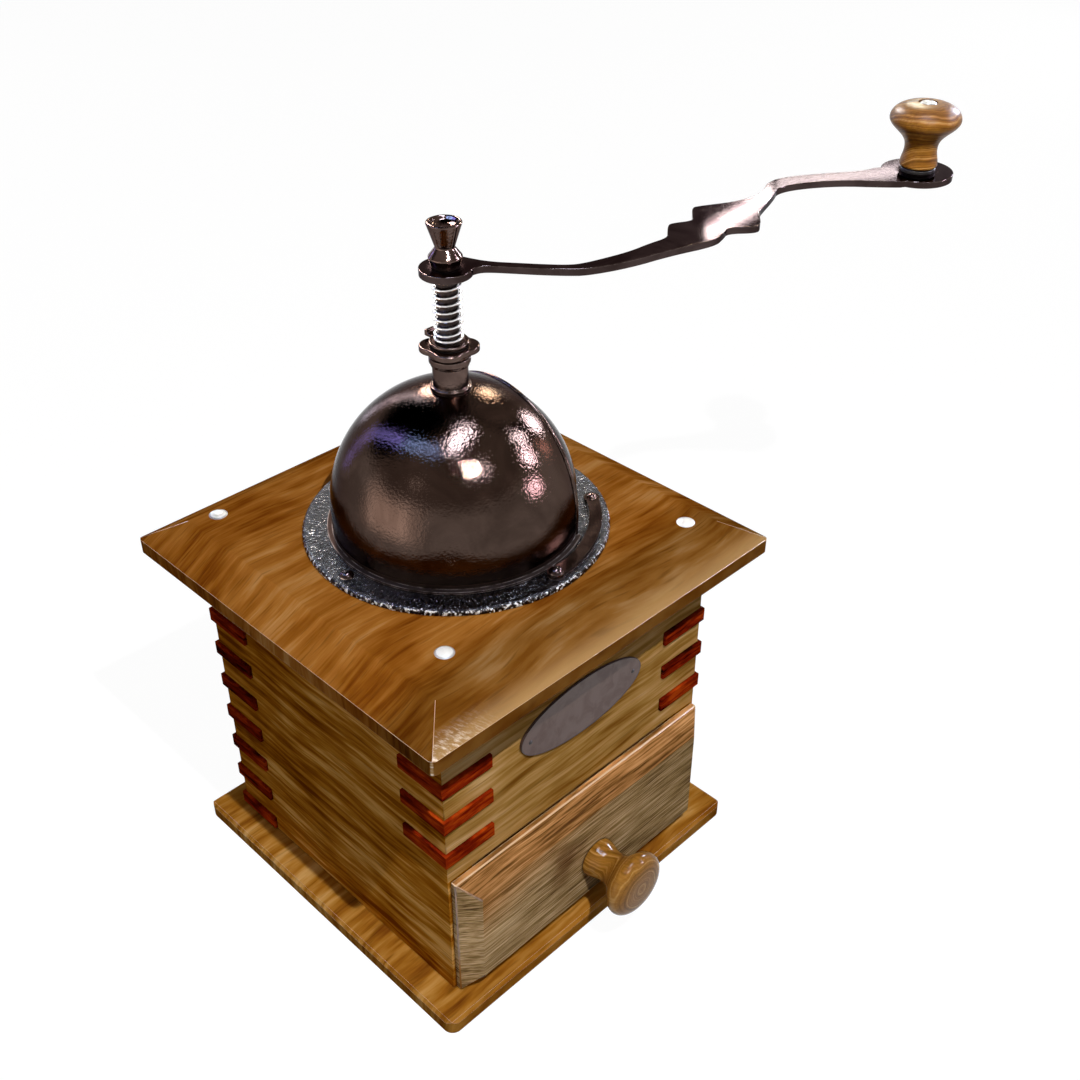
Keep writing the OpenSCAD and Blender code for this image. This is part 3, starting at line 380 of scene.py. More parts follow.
def painted_front_light(tree, place, colour):
    """Painted greyish shade on the front strip, a painted pale sheen on the front bevel, and a painted glint
    of pale streaks near its left corner.
    """
    front = facing(tree, FORWARD)
    bevel = calc(tree, "MULTIPLY", spread(tree, front, 0.30, 0.50), spread(tree, front, 0.85, 0.65))
    strip = spread(tree, coordinate(tree, place, "Y"), -46 * MM, -66 * MM)
    # Painted shade greys the front strip, and a painted sheen makes the front-facing bevel pale
    colour = mix(tree, strip, colour, rgb("#d2dcee"), "MULTIPLY")
    colour = stain(tree, colour, bevel, 0.7, "#b08c5c")
    # Painted glint: pale streaks on the front bevel near the left corner
    turned = add(tree, "ShaderNodeMapping", {"Vector": place, "Rotation": (0, 0, 0.9)}).outputs[0]
    glint_streaks = noise(tree, vector(tree, "MULTIPLY", turned, FIBRE_SCALE), 1.0, 3.0, 0.7)["Fac"]
    corner = spread(tree, coordinate(tree, place, "X"), -50 * MM, -78 * MM)
    glint_streaks = calc(tree, "MULTIPLY", spread(tree, glint_streaks, 0.42, 0.72), corner)
    return mix(tree, calc(tree, "MULTIPLY", glint_streaks, bevel), colour, rgb("#ecdccc"))


def drawer_knob_shadow_and_tint(tree, place, colour):
    """A ragged painted shadow of the knob on the field, and a warmer tint on the upper bevel."""
    # Painted shadow of the knob, darkest near its place
    reach = measure(tree, "DISTANCE", place, KNOB_SHADOW_PLACE)
    ragged = noise(tree, place, 90.0, 2.0)["Fac"]
    reach = calc(tree, "SUBTRACT", reach, KNOB_SHADOW_RAGGED / 2)
    reach = calc(tree, "MULTIPLY_ADD", ragged, KNOB_SHADOW_RAGGED, reach)
    colour = stain(tree, colour, spread(tree, reach, KNOB_SHADOW_REACH, 2 * MM), 0.7, "#8a5a20", "MULTIPLY")
    bevel = spread(tree, facing(tree, UP), 0.05, 0.15)
    return mix(tree, bevel, colour, rgb("#fbd9b8"), "MULTIPLY")


def painted_edge_highlight(tree, place, colour):
    """Painted highlight: pale where the edge is turned up."""
    return mix(tree, spread(tree, facing(tree, UP), 0.25, 0.55), colour, rgb("#d8b48c"))


print("the painted knob shadow lies at", [round(v / MM) for v in KNOB_SHADOW_PLACE], "mm")

# %% [markdown]
# What changes from board to board is the way the grain runs, how wide its streaks are, and how warm
# and dark the board is, so one function makes every board's finish. The grain is given as three
# letters: the axis along the grain, the axis across it, and the axis into the board, where the
# pattern hardly changes, so that a bevel shows the same streaks as the flat beside it. Weights say
# how much the streaks, the fine lines and the clouds each count, and shift takes the board from
# another part of the tree, so that two boards of one timber don't match streak for streak.

# %% Varnished board
# The colour of the painted shade in the creases and joints of wood
WOOD_SHADE = "#1c0d04"


def by_axis(letters, along, across, depth):
    """A vector with the three values at the axes that the letters name."""
    values = dict(zip(letters, (along, across, depth)))
    return tuple(values[axis] for axis in "XYZ")


def varnished_board(name, grain, colours, width, length=14.0, wander=5.0, weights=(0.6, 0.3, 0.4),
                    shift=(0, 0, 0), rough=0.5, shine=0.0, painted_light=None):
    """Width is a streak's in mm, length is in widths, wander in mm, and painted_light lays painted light,
    and on the drawer a tint, over the colour.
    """
    material, tree, shader, place = new_material(name)
    board = vector(tree, "ADD", place, shift)
    across = 0.5 / (width * MM)
    wood = place_group(
        tree, streaked_grain, Place=board, Per=by_axis(grain, across / length, across, across * 0.12),
        Wander=by_axis(grain, 0.0, wander * MM, 0.0))
    edge = place_group(tree, worn_edge, Place=place, Reach=0.7 * MM)["Edge"]
    seam_shade = place_group(tree, painted_shade, Reach=1.1 * MM)["Seam"]
    dirt = place_group(tree, speckle, Place=place, Broad=25.0)
    shade = 0.5 - sum(weights) / 2
    for source, weight in zip(("Streaks", "Lines", "Clouds"), weights):
        shade = calc(tree, "MULTIPLY_ADD", wood[source], weight, shade)
    colour = ramp(tree, calc(tree, "ADD", shade, 0.0, clamp=True), colours)
    colour = stain(tree, colour, wood["Pores"], 0.3, "#4a2a10", "MULTIPLY")
    colour = stain(tree, colour, edge, 0.35, "#5a260c")
    # Painted light laid over the grain, where the board has it
    if painted_light:
        colour = painted_light(tree, place, colour)
    # Painted shade in creases and joints
    colour = stain(tree, colour, seam_shade, 0.6, WOOD_SHADE)
    tree.links.new(colour, shader.inputs["Base Color"])
    rough = spread(tree, dirt["Smears"], 0.0, 1.0, rough - 0.06, rough + 0.06)
    tree.links.new(rough, shader.inputs["Roughness"])
    shader.inputs["Specular IOR Level"].default_value = shine
    tree.links.new(relief(tree, wood["Lines"], 0.10, 0.2 * MM), shader.inputs["Normal"])
    return material


print("grain ZYX gives X, Y and Z:", by_axis("ZYX", "along", "across", "depth"))

# %% [markdown]
# Each board has four browns, from its darkest streak to its palest. The top board is darkened by
# hands, the sides have the warmest colour, the front and the drawer are paler and greyer, with a painted
# sheen in the front's grey as well as its own colour, and the drawer is cut so that its grain is
# pinstriped. The splines in the corners are a hard red timber. The drawer's own box is bare wood.

# %% Finishes of the boards
SIDE_BROWNS = ("#6c3202", "#98590c", "#b87824", "#dca458")
edge_gloss = varnished_board(
    "varnished edge", "XYZ", ("#3c1a04", "#5c2e0a", "#7a4a1c", "#9c6c3c"), 1.6, 9.0,
    rough=0.10, shine=1.0, painted_light=painted_edge_highlight)
top_wood = varnished_board(
    "top board wood", "XYZ", ("#5e2c04", "#804a14", "#966026", "#aa7a44"), 2.4, 10.0, 9.0,
    (0.42, 0.2, 0.42), (0.3, 0.1, 0.02), painted_light=painted_front_light)
base_wood = varnished_board(
    "base board wood", "XYZ", ("#744010", "#96601c", "#b07c36", "#c89c5c"), 3.0, 8.0, 9.0,
    (0.55, 0.2, 0.4), (0.7, 0.3, 0.0))
side_wood = varnished_board(
    "side panel wood", "YZX", SIDE_BROWNS, 3.0, 15.0, 4.0, (0.45, 0.5, 0.35))
back_wood = varnished_board(
    "back panel wood", "XZY", SIDE_BROWNS, 3.0, 15.0, 4.0, (0.45, 0.5, 0.35), (0.2, 0.5, 0.4))
# The front's pale grey browns hold a painted sheen as well as the board's own colour
front_wood = varnished_board(
    "front panel wood", "XZY", ("#7c4e18", "#a07638", "#bc9054", "#d6b07c"), 3.0, 14.0, 4.0,
    (0.4, 0.4, 0.35), (0.0, 0.2, 0.9))
drawer_wood = varnished_board(
    "drawer front wood", "XZY", ("#56402a", "#8c7048", "#b6956a", "#d6b890"), 0.8, 34.0, 1.2,
    (0.3, 0.6, 0.25), (0.4, 0.7, 0.1), painted_light=drawer_knob_shadow_and_tint)
inner_wood = varnished_board(
    "drawer box wood", "XZY", ("#8b6a40", "#a98655", "#b89566", "#c6a878"), 2.0, rough=0.6)
red_wood = varnished_board(
    "spline wood", "XZY", ("#240501", "#641404", "#8a2607", "#ac400e"), 1.4, 7.0, 2.0,
    (0.6, 0.4, 0.3))
boards = (edge_gloss, top_wood, base_wood, side_wood, back_wood, front_wood, drawer_wood, inner_wood,
          red_wood)
print("boards:", [material.name for material in boards])

# %% [markdown]
# The two knobs are turned from the same timber across its grain, so that the rings of the tree come
# out as swirls. A turner varnishes a knob on the lathe, so they are glossier than the boards. The
# drawer's knob was cut through the pith, which sits in the middle of its face, and the crank's knob
# from beside it.

# %% Turned knobs
KNOB_SHINE = 0.12


def turned_wood(name, pith, turn, colours, rough, shine):
    """Pith is a place on the tree's middle line, which lies along X until it is turned."""
    material, tree, shader, place = new_material(name)
    board = vector(tree, "SUBTRACT", place, pith)
    board = add(tree, "ShaderNodeMapping", {"Vector": board, "Rotation": turn}).outputs[0]
    wood = place_group(tree, ring_grain, Place=board, Ring=1.3 * MM, Wobble=4.0 * MM)
    seam_shade = place_group(tree, painted_shade, Reach=1.1 * MM)["Seam"]
    dirt = place_group(tree, speckle, Place=place, Broad=80.0)
    colour = ramp(tree, wood["Rings"], colours)
    colour = stain(tree, colour, wood["Fibres"], 0.35, "#8a5a28", "MULTIPLY")
    # Painted shade in creases and joints
    colour = stain(tree, colour, seam_shade, 0.6, WOOD_SHADE)
    tree.links.new(colour, shader.inputs["Base Color"])
    rough = spread(tree, dirt["Smears"], 0.0, 1.0, rough, rough + 0.08)
    tree.links.new(rough, shader.inputs["Roughness"])
    shader.inputs["Specular IOR Level"].default_value = shine
    tree.links.new(relief(tree, wood["Fibres"], 0.06, 0.1 * MM), shader.inputs["Normal"])
    return material


low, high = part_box("crank_knob")
below_the_knob = Vector(((low.x + high.x) / 2, low.y, low.z - 10 * MM))
crank_knob_wood = turned_wood(
    "crank knob wood", below_the_knob, (0, 0, 0.6),
    ("#4a2804", "#845212", "#a46e26", "#c89c5c"), 0.30, KNOB_SHINE)
low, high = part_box("drawer_knob")
middle_of_face = Vector(((low.x + high.x) / 2, low.y, (low.z + high.z) / 2))
drawer_knob_wood = turned_wood(
    "drawer knob wood", middle_of_face, (0, 0, 1.3),
    ("#64400e", "#8a5c1c", "#a67430", "#c29654"), 0.08, KNOB_SHINE)
print("drawer knob's pith at", [round(v / MM, 1) for v in middle_of_face], "mm")

# %% [markdown]
# ## Metal
# The hood, the crank and the small parts round the spindle are steel under a thin bronze-brown
# finish: dark, glossy, and full of small pits that break up what they mirror. A metal shows only what
# it mirrors, tinted by its own colour, so that colour is a dark brown, and the tint at grazing angles
# is held back. Painted shade darkens its creases and the hood's foot, which are also made rough.

# %% Bronzed steel
# The colour of the painted shade in the creases of the metal and on the hood's foot
METAL_SHADE = "#0c0705"


def bronzed_steel(name, dark, light, pit_height, low_rough, high_rough, pits=1150.0, foot=None):
    """Pit height is in mm and pits is how many a metre; painted shade covers a foot up to the given height.
    """
    material, tree, shader, place = new_material(name)
    skin = place_group(tree, speckle, Place=place, Fine=pits, Broad=45.0)
    edge = place_group(tree, worn_edge, Place=place, Reach=0.6 * MM)["Edge"]
    painted_metal_shade = place_group(tree, painted_shade, Reach=3.0 * MM)["Seam"]
    if foot:
        height = coordinate(tree, place, "Z")
        painted_metal_shade = calc(tree, "MAXIMUM", painted_metal_shade, spread(tree, height, foot + 1.0 * MM, foot))
    colour = mix(tree, skin["Smears"], rgb(dark), rgb(light))
    # Painted shade in the creases and on the hood's foot, which are also made rougher
    colour = stain(tree, colour, painted_metal_shade, 0.7, METAL_SHADE)
    colour = stain(tree, colour, edge, 0.4, "#b9aaa2")
    tree.links.new(colour, shader.inputs["Base Color"])
    shader.inputs["Metallic"].default_value = 1.0
    shader.inputs["Specular Tint"].default_value = rgb("#b4b4b6")
    rough = spread(tree, skin["Smears"], 0.0, 1.0, low_rough, high_rough)
    tree.links.new(calc(tree, "MULTIPLY_ADD", painted_metal_shade, 0.5, rough), shader.inputs["Roughness"])
    tree.links.new(relief(tree, skin["Pits"], 1.0, pit_height * MM), shader.inputs["Normal"])
    return material


hood_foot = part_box("hood")[0].z + 1.8 * MM
hood_bronze = bronzed_steel("hood bronze", "#3d302a", "#4e3f38", 0.10, 0.05, 0.08, foot=hood_foot)
bronze = bronzed_steel("small part bronze", "#4c3d38", "#6a5851", 0.035, 0.07, 0.14)
crank_bronze = bronzed_steel("crank bronze", "#332826", "#463a38", 0.004, 0.03, 0.05, 1400.0)
print("the hood's foot ends at", round(hood_foot / MM, 1), "mm")

# %% [markdown]
# The flange is black cast iron, dressed with a hammer, so short bright marks run outward from the
# spindle all over it. Plain noise has no direction, so the place is first written as an angle, a
# radius and a height, and the noise is drawn from those. Its rim is nicked down to bright metal, and
# the bright nicks also paint a thin highlight along the rim.
# The bowl and the bridge inside have the plain skin that the sand of the mould leaves.

# %% Skins of cast iron
low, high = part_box("flange_plate")
FLANGE_RADIUS = (high.x - low.x) / 2
MARKS_A_RADIAN = 80.0
MARKS_A_METRE = 380.0
HAMMER_DEPTH = 1.3 * MM


def hammered_skin(tree, place):
    """Marks that run outward from the spindle, and the nicks of the rim, which also paint its highlight."""
    place = vector(tree, "SUBTRACT", place, (HOOD_CENTRE.x, HOOD_CENTRE.y, 0))
    parts = add(tree, "ShaderNodeSeparateXYZ", {"Vector": place}).outputs
    angle = calc(tree, "ARCTAN2", parts["Y"], parts["X"])
    radius = measure(tree, "LENGTH", vector(tree, "MULTIPLY", place, (1, 1, 0)))
    polar = add(tree, "ShaderNodeCombineXYZ", {
        "X": calc(tree, "MULTIPLY", angle, MARKS_A_RADIAN),
        "Y": calc(tree, "MULTIPLY", radius, MARKS_A_METRE),
        "Z": calc(tree, "MULTIPLY", parts["Z"], 300.0)}).outputs[0]
    skin = noise(tree, polar, 1.0, 3.0, 0.6, 0.5)["Fac"]
    nicks_and_highlight = spread(tree, noise(tree, place, 800.0, 2.0)["Fac"], 0.50, 0.62)
    rim = spread(tree, radius, FLANGE_RADIUS - 0.7 * MM, FLANGE_RADIUS - 0.3 * MM)
    return skin, calc(tree, "MULTIPLY", rim, nicks_and_highlight)


def sand_skin(tree, place):
    """The even grain of a sand mould, worn at the corners."""
    skin = noise(tree, place, 700.0, 4.0, 0.65)["Fac"]
    return skin, place_group(tree, worn_edge, Place=place, Reach=0.6 * MM, Breaks=500.0)["Edge"]


print("flange radius:", round(FLANGE_RADIUS / MM, 1), "mm")

# %% Cast iron
def cast_iron(name, surface):
    """Surface gives the skin's height and where it is nicked or worn bright."""
    material, tree, shader, place = new_material(name)
    skin, bright = surface(tree, place)
    colour = mix(tree, spread(tree, skin, 0.5, 0.7), rgb("#191717"), rgb("#7a7672"))
    # On the flange's rim this bright colour is a painted highlight as well as nicks
    colour = mix(tree, bright, colour, rgb("#d8d6d4"))
    tree.links.new(colour, shader.inputs["Base Color"])
    # Scratched iron scatters light, so a bright spot is given less of the mirror
    tree.links.new(calc(tree, "MULTIPLY_ADD", bright, -0.8, 1.0), shader.inputs["Metallic"])
    tree.links.new(spread(tree, skin, 0.3, 0.7, 0.22, 0.13), shader.inputs["Roughness"])
    tree.links.new(relief(tree, skin, 1.0, HAMMER_DEPTH), shader.inputs["Normal"])
    return material


flange_iron = cast_iron("hammered cast iron", hammered_skin)
plain_iron = cast_iron("plain cast iron", sand_skin)
print("iron:", flange_iron.name, "and", plain_iron.name)

# %% [markdown]
# The last finishes are for small parts that show one colour: the bright plated spring, bare burr
# steel, the oiled spindle, the bare name plate and its dark pins, the pale caps and the black washer.
# Each is a colour that is mottled with another close to it, over faint pits. On the name plate and
# the caps a painted shade darkens the rim.

# %% Small parts
def plain_skin(name, code, other, metallic, low_rough, high_rough, pits=0.08, rim=None):
    """One colour mottled with another; pits is how strongly they show, and rim is the colour of a painted
    shade along the rim.
    """
    material, tree, shader, place = new_material(name)
    skin = place_group(tree, speckle, Place=place, Fine=1600.0, Broad=120.0)
    colour = mix(tree, skin["Smears"], rgb(code), rgb(other))
    # Painted shade along the rim, where the piece meets the wood
    if rim:
        edge = place_group(tree, worn_edge, Place=place, Reach=0.9 * MM, Breaks=20.0)["Edge"]
        colour = mix(tree, edge, colour, rgb(rim))
    tree.links.new(colour, shader.inputs["Base Color"])
    shader.inputs["Metallic"].default_value = metallic
    rough = spread(tree, skin["Smears"], 0.0, 1.0, low_rough, high_rough)
    tree.links.new(rough, shader.inputs["Roughness"])
    tree.links.new(relief(tree, skin["Pits"], pits, 0.1 * MM), shader.inputs["Normal"])
    return material


nickel = plain_skin("bright nickel", "#f0f0f2", "#d8d6d4", 1.0, 0.16, 0.26)
burr_steel = plain_skin("burr steel", "#8f8e8b", "#a5a4a0", 1.0, 0.28, 0.45, pits=0.2)
dark_steel = plain_skin("oiled steel", "#2c2523", "#3d3431", 1.0, 0.25, 0.38, pits=0.2)
plate_brown = plain_skin("name plate brown", "#54403a", "#4a3630", 0.25, 0.42, 0.52, rim="#150c0a")
dark_line = plain_skin("dark line", "#17100d", "#221813", 0.0, 0.5, 0.6)
cap_white = plain_skin("pale cap", "#f0eeec", "#e2dfdc", 0.0, 0.22, 0.32, rim="#5a4630")
washer_black = plain_skin("washer black", "#141211", "#1e1a18", 0.2, 0.35, 0.5)
small_finishes = (nickel, burr_steel, dark_steel, plate_brown, dark_line, cap_white, washer_black)
print("small parts:", [material.name for material in small_finishes])

# %% [markdown]
# ## Softened edges
# Sawn and pressed pieces never have knife edges, and the thin lines of light along their corners are
# what makes them look solid. Shading alone could fake them, but the outline would stay sharp, so a
# copy of the solid gets a real bevel that stays inside the solid's own box. Smooth shading with
# weighted normals keeps the flats flat. The copy rides on the body that carries the solid, and
# replaces it.

# %% Meshes
FLAT_ANGLE = 0.3
SAME_POINT = 2e-6


def apply_modifiers(piece):
    """Bakes the modifiers into the mesh, so that what is seen is what is kept."""
    bpy.context.view_layer.update()
    shown = piece.evaluated_get(bpy.context.evaluated_depsgraph_get())
    final = bpy.data.meshes.new_from_object(shown)
    piece.modifiers.clear()
    piece.data = final


def clean_copy(solid):
    """The solid's mesh without double points or the lines that only split its flats."""
    mesh = solid.data.copy()
    work = bmesh.new()
    work.from_mesh(mesh)
    bmesh.ops.remove_doubles(work, verts=work.verts, dist=SAME_POINT)
    bmesh.ops.dissolve_limit(
        work, angle_limit=math.radians(FLAT_ANGLE), verts=work.verts, edges=work.edges)
    for face in work.faces:
        face.smooth = True
    work.to_mesh(mesh)
    work.free()
    return mesh


print("points nearer than", SAME_POINT / MM, "mm are joined")

# %% Softened copies
CORNER_ANGLE = 28
BEVEL_STEPS = 3


def softened(node, material, width, edge_material=None, angle=CORNER_ANGLE):
    """A copy of a solid with rounded edges, in its place; the edges may have their own finish."""
    mesh = clean_copy(solids[node])
    piece = bpy.data.objects.new(node + "_soft", mesh)
    bpy.context.scene.collection.objects.link(piece)
    bevel = piece.modifiers.new("edges", "BEVEL")
    bevel.width = width * MM
    bevel.segments = BEVEL_STEPS
    bevel.limit_method = "ANGLE"
    bevel.angle_limit = math.radians(angle)
    piece.modifiers.new("normals", "WEIGHTED_NORMAL").keep_sharp = True
    mesh.materials.clear()
    mesh.materials.append(material)
    if edge_material:
        mesh.materials.append(edge_material)
        bevel.material = 1
    apply_modifiers(piece)
    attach(piece, carrier[node])
    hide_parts(node)
    return piece


print("corners over", CORNER_ANGLE, "degrees are rounded in", BEVEL_STEPS, "steps")

# %% [markdown]
# The table gives each piece its finish and the width of its rounding in millimetres. Three boards
# also get a glossy edge, because varnish gathers there, with a painted highlight where it turns up.
# On those only corners over 40 degrees are rounded, so that shallow folds stay as the plane left them.

# %% The softened pieces
BOARD_CORNER_ANGLE = 40
VARNISHED_EDGES = ("base_board", "top_board", "drawer_front")
SOFT = {
    "base_board": (base_wood, 0.6),
    "top_board": (top_wood, 0.45),
    "side_panel_left": (side_wood, 0.25),
    "side_panel_right": (side_wood, 0.25),
    "back_panel": (back_wood, 0.25),
    "front_panel": (front_wood, 0.25),
    "drawer_front": (drawer_wood, 0.6),
    "flange_plate": (flange_iron, 0.25),
    "hood_clamps": (bronze, 0.4),
    "crank": (crank_bronze, 0.9),
    "bearing_sleeve": (bronze, 0.25),
    "adjusting_nut": (bronze, 0.45),
    "lock_plate": (bronze, 0.3),
    "knob_washer": (washer_black, 0.3),
    "name_plate": (plate_brown, 0.35),
    "top_nut": (bronze, 0.3),
    "splines_back_left": (red_wood, 0.25),
    "splines_back_right": (red_wood, 0.25),
    "splines_front_left": (red_wood, 0.25),
    "splines_front_right": (red_wood, 0.25),
}
for node, (material, width) in SOFT.items():
    if node in VARNISHED_EDGES:
        piece = softened(node, material, width, edge_gloss, BOARD_CORNER_ANGLE)
    else:
        piece = softened(node, material, width)
    print(node, "faces:", len(piece.data.polygons))

# %% [markdown]
# ## The other solids
# The rest are round already or mostly out of sight, so they keep the solid's own shape and only get
# their finish. The table is turned the other way here, because many pieces share one finish.

# %% Finishes on the solids
FINISH = (
    (inner_wood, ("divider_board", "drawer_stops", "drawer_side_left", "drawer_side_right",
                  "drawer_back", "drawer_bottom")),
    (crank_knob_wood, ("crank_knob",)),
    (drawer_knob_wood, ("drawer_knob",)),
    (hood_bronze, ("hood", "hood_door")),
    (bronze, ("clamp_rivets", "door_button")),
    (crank_bronze, ("flange_screws",)),
    (plain_iron, ("hopper_bowl", "lower_bridge")),
    (burr_steel, ("base_screws", "sleeve_nut", "burr_ring", "bridge_screws", "burr_cone",
                  "drawer_knob_screw")),
    (dark_steel, ("spindle",)),
    (nickel, ("spring", "cone_pin")),
    (cap_white, ("top_pins", "knob_pin")),
    (dark_line, ("name_plate_pins",)),
)
for material, nodes in FINISH:
    for node in nodes:
        mesh = solids[node].data
        mesh.materials.clear()
        mesh.materials.append(material)
    print(material.name, "on", len(nodes))
print("pieces with a finish:", len(SOFT) + sum(len(nodes) for _, nodes in FINISH), "of", len(solids))

# %% [markdown]
# ## The floor
# The mill stands on a plain white floor. White paper under a strong lamp would throw light back up
# at the mill, so the floor itself is dark, and it glows by nearly 1, which is white, only where the
# camera or a reflection meets it. The little light it takes from the lamp still shows a shadow.

# %% Floor
FLOOR_REACH = 6.0
FLOOR_SHADE = 0.08
FLOOR_GLOW = 0.96


def seen_rays(tree):
    """1 for the camera, for mirrors and for glass, and 0 where light only falls on things."""
    path = add(tree, "ShaderNodeLightPath").outputs
    seen = calc(tree, "MAXIMUM", path["Is Camera Ray"], path["Is Glossy Ray"])
    return calc(tree, "MAXIMUM", seen, path["Is Transmission Ray"])


def build_floor():
    """A square that reaches far past the view on every side."""
    mesh = bpy.data.meshes.new("floor")
    corners = [(x * FLOOR_REACH, y * FLOOR_REACH, 0) for x, y in ((-1, -1), (1, -1), (1, 1), (-1, 1))]
    mesh.from_pydata(corners, [], [(0, 1, 2, 3)])
    floor = bpy.data.objects.new("floor", mesh)
    bpy.context.scene.collection.objects.link(floor)
    material, tree, shader, _ = new_material("floor white")
    shader.inputs["Base Color"].default_value = (FLOOR_SHADE, FLOOR_SHADE, FLOOR_SHADE, 1)
    shader.inputs["Roughness"].default_value = 0.9
    shader.inputs["Specular IOR Level"].default_value = 0.0
    seen = seen_rays(tree)
    glow = add(tree, "ShaderNodeCombineColor", {"Red": seen, "Green": seen, "Blue": seen}).outputs[0]
    tree.links.new(glow, shader.inputs["Emission Color"])
    shader.inputs["Emission Strength"].default_value = FLOOR_GLOW
    mesh.materials.append(material)


build_floor()
print("floor:", 2 * FLOOR_REACH, "m across")

# %% [markdown]
# ## Lamps
# One small lamp above the drawer's side gives the crisp shadows. Most of the others are there for the
# metal: a glossy hood is only as good as what stands round it, so soft boxes follow.

# %% Key lamp
def lamp(name, place, turn, size, watts, colour="#ffffff"):
    """An area lamp that shines along its own -Z; size is along its X and Y."""
    data = bpy.data.lights.new(name, "AREA")
    data.shape = "RECTANGLE"
    data.size, data.size_y = size
    data.energy = watts
    data.color = rgb(colour)[:3]
    made = bpy.data.objects.new(name, data)
    made.matrix_world = Matrix.Translation(place) @ turn
    bpy.context.scene.collection.objects.link(made)
    return made


KEY_PLACE = Vector((-0.137, -0.415, 0.765))
KEY_AIM = Vector((0, 0, 0.1))
KEY_SIZE = 0.009
KEY_WATTS = 5.4
key_turn = (KEY_PLACE - KEY_AIM).to_track_quat("Z", "Y").to_matrix().to_4x4()
lamp("key", KEY_PLACE, key_turn, (KEY_SIZE, KEY_SIZE), KEY_WATTS)
print("the key lamp is", round((KEY_PLACE - KEY_AIM).length, 2), "m away")

# %% [markdown]
# A soft box is placed by two directions from the hood's centre, between which it stretches, and its
# level is how bright it looks in a mirror. Its light adds nothing to matt surfaces, so that the wood
# stays plain. Four broad lamps do the opposite: they fill the shadows on each side of the case and
# are never mirrored.

# %% Soft box and fill light
STUDIO_REACH = 1.6
FILL_LOW = 2
FILL_HIGH = 30
FILL_WIDTH = 0.8


def toward(azimuth, elevation):
    """A direction from two angles in degrees: round from +X, and up from level."""
    a, e = math.radians(azimuth), math.radians(elevation)
    return Vector((math.cos(e) * math.cos(a), math.cos(e) * math.sin(a), math.sin(e)))


def soft_box(name, start, end, width, level, colour="#ffffff", distance=STUDIO_REACH):
    """A strip of light between two directions from the hood's centre, each (azimuth, elevation)."""
    ends = [HOOD_CENTRE + toward(*direction) * distance for direction in (start, end)]
    middle = (ends[0] + ends[1]) / 2
    along = ends[1] - ends[0]
    back = (middle - HOOD_CENTRE).normalized()
    side = along.cross(back).normalized()
    turn = Matrix((side, back.cross(side), back)).transposed().to_4x4()
    size = (width, along.length)
    made = lamp(name, middle, turn, size, level * math.pi * size[0] * size[1], colour)
    made.visible_diffuse = False
    return made


def fill_light(name, azimuth, level):
    """A broad lamp that only lights surfaces and isn't mirrored."""
    made = soft_box(name, (azimuth, FILL_LOW), (azimuth, FILL_HIGH), FILL_WIDTH, level)
    made.visible_diffuse = True
    made.visible_glossy = False


print("soft boxes hang", STUDIO_REACH, "m from the hood, unless the table says otherwise")

# %% [markdown]
# The boxes below stand for a room: windows on the right and overhead, a pale yellow lantern behind,
# a blue arch that rises on the left and gets brighter at its top, and a warm glow low on the left.
# Two narrow ones serve the flat of the crank, and a broad one the flange, which would look black
# without them.

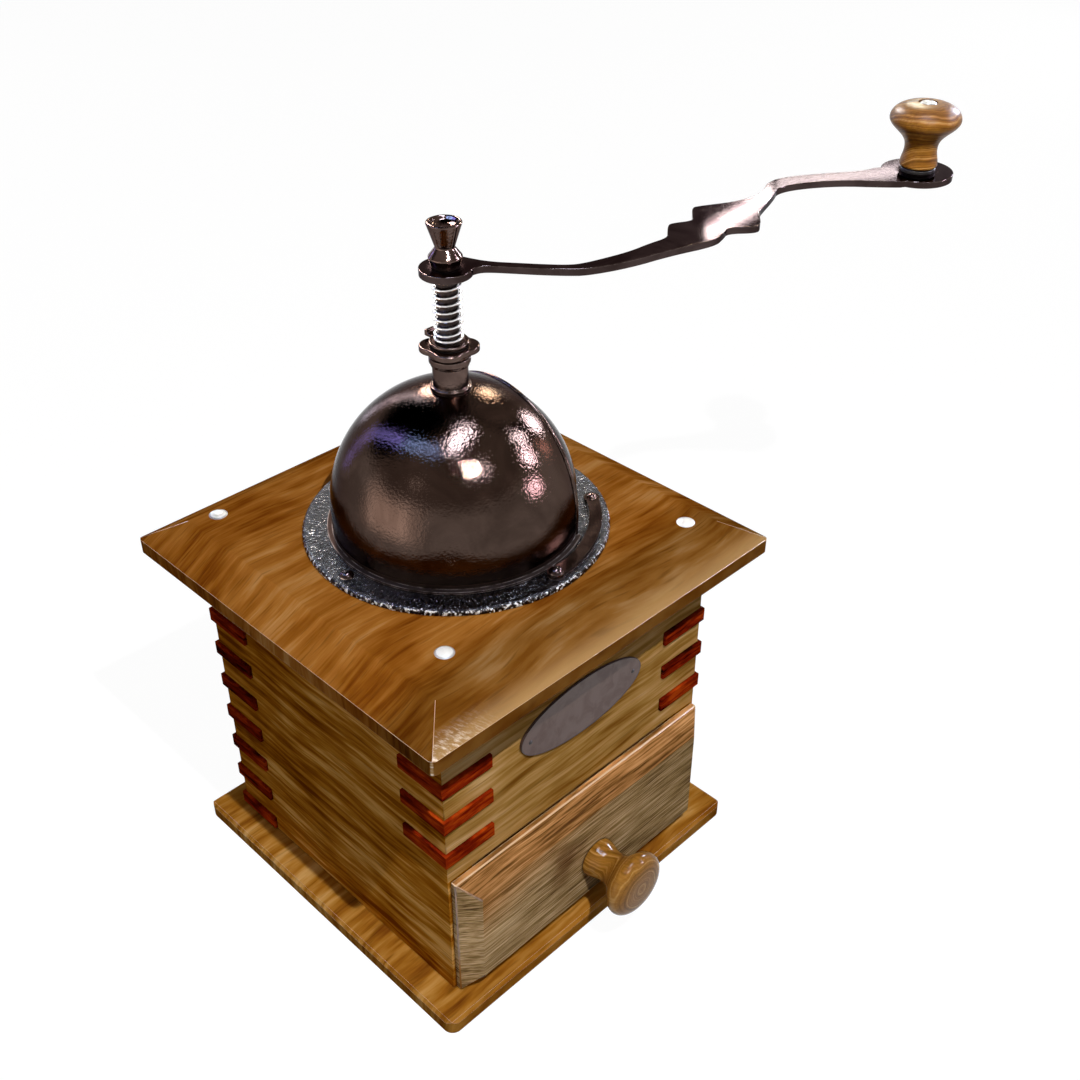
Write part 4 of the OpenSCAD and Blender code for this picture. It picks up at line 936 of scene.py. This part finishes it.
# %% Soft boxes and fill
SOFT_BOXES = (
    ("overhead", (-10, 76), (-140, 73), 0.20, 70, "#d0e2ff"),
    ("key bounce", (-110, 51), (-86, 50), 0.13, 40, "#dce8ff"),
    ("window 1", (2, 14), (2, 23), 0.24, 95, "#d8e6ff"),
    ("window 2", (-23, 34), (-23, 41), 0.16, 85, "#d8e6ff"),
    ("window 3", (-36, 24), (-36, 33), 0.18, 75, "#e4e4ff"),
    ("window 4", (-51, 8), (-51, 15), 0.26, 42, "#f0e0ff"),
    ("pink glow", (-15, 11), (-15, 17), 0.12, 12, "#ffc8c4"),
    ("lantern", (28, 29), (28, 35), 0.16, 85, "#fffbe0"),
    ("small glint", (-175, 35), (-175, 39), 0.14, 3, "#ffffff"),
    ("wrist light", (24.0, 20.1), (30.6, 21.4), 0.010, 62, "#e4f4f0"),
    ("belly light", (30.8, 21.9), (34.2, 24.2), 0.018, 110, "#e4f4f0"),
    ("flange light", (61, 26), (58.5, 38), 0.19, 140, "#fff8f2"),
    ("tall window", (78, -4), (67, 44), 0.10, 16, "#d4e6ff"),
    ("blue edge low", (101, -13), (101, 20), 0.09, 13, "#7a80f4"),
    ("blue edge high", (101, 20), (134, 52), 0.09, 19, "#7a84f4"),
    ("blue edge top", (134, 52), (-165, 68), 0.10, 26, "#80b0ff"),
    ("side glow wide", (170, -14), (170, 20), 0.66, 1.0, "#fff0e4", 0.62),
    ("side glow middle", (168, -10), (168, 14), 0.40, 1.4, "#fff0e4", 0.61),
)
FILL_LIGHTS = (
    ("left fill", 188, 2.1),
    ("front fill", 262, 1.6),
    ("right fill", 8, 1.5),
    ("back fill", 98, 1.5),
)
for values in SOFT_BOXES:
    soft_box(*values)
for name, azimuth, level in FILL_LIGHTS:
    fill_light(name, azimuth, level)
print("lamps:", len(bpy.data.lights))

# %% [markdown]
# ## Surroundings
# The world does two jobs. For light that only falls on things it is a dim grey, so that shadows keep
# some colour. For what is seen or mirrored it is white low down, where it meets the floor, and a
# pale brown wall above, with one dark doorway, because a glossy dome needs black to mirror as well.

# %% World
ROOM_GREY = "#4c4a48"
WALL_WHITE = "#fbfaf9"
WALL_BROWN = "#bcb0aa"
DOORWAY = toward(90, 48)
DOORWAY_RIM = (0.74, 0.86)
WAINSCOT = (0.30, 0.42)


def build_world():
    """Each pair of limits is a range over which one shade gives way to the next."""
    world = bpy.data.worlds.new("studio")
    world.use_nodes = True
    tree = world.node_tree
    outward = add(tree, "ShaderNodeTexCoord").outputs["Generated"]
    near = measure(tree, "DOT_PRODUCT", outward, DOORWAY)
    walls = ramp(tree, spread(tree, near, *DOORWAY_RIM), (WALL_BROWN, "#000000"))
    height = coordinate(tree, outward, "Z")
    walls = mix(tree, spread(tree, height, *WAINSCOT), rgb(WALL_WHITE), walls)
    shown = mix(tree, seen_rays(tree), rgb(ROOM_GREY), walls)
    tree.links.new(shown, tree.nodes["Background"].inputs["Color"])
    bpy.context.scene.world = world


build_world()
bpy.context.scene.view_settings.view_transform = "Standard"
print("world:", bpy.context.scene.world.name)
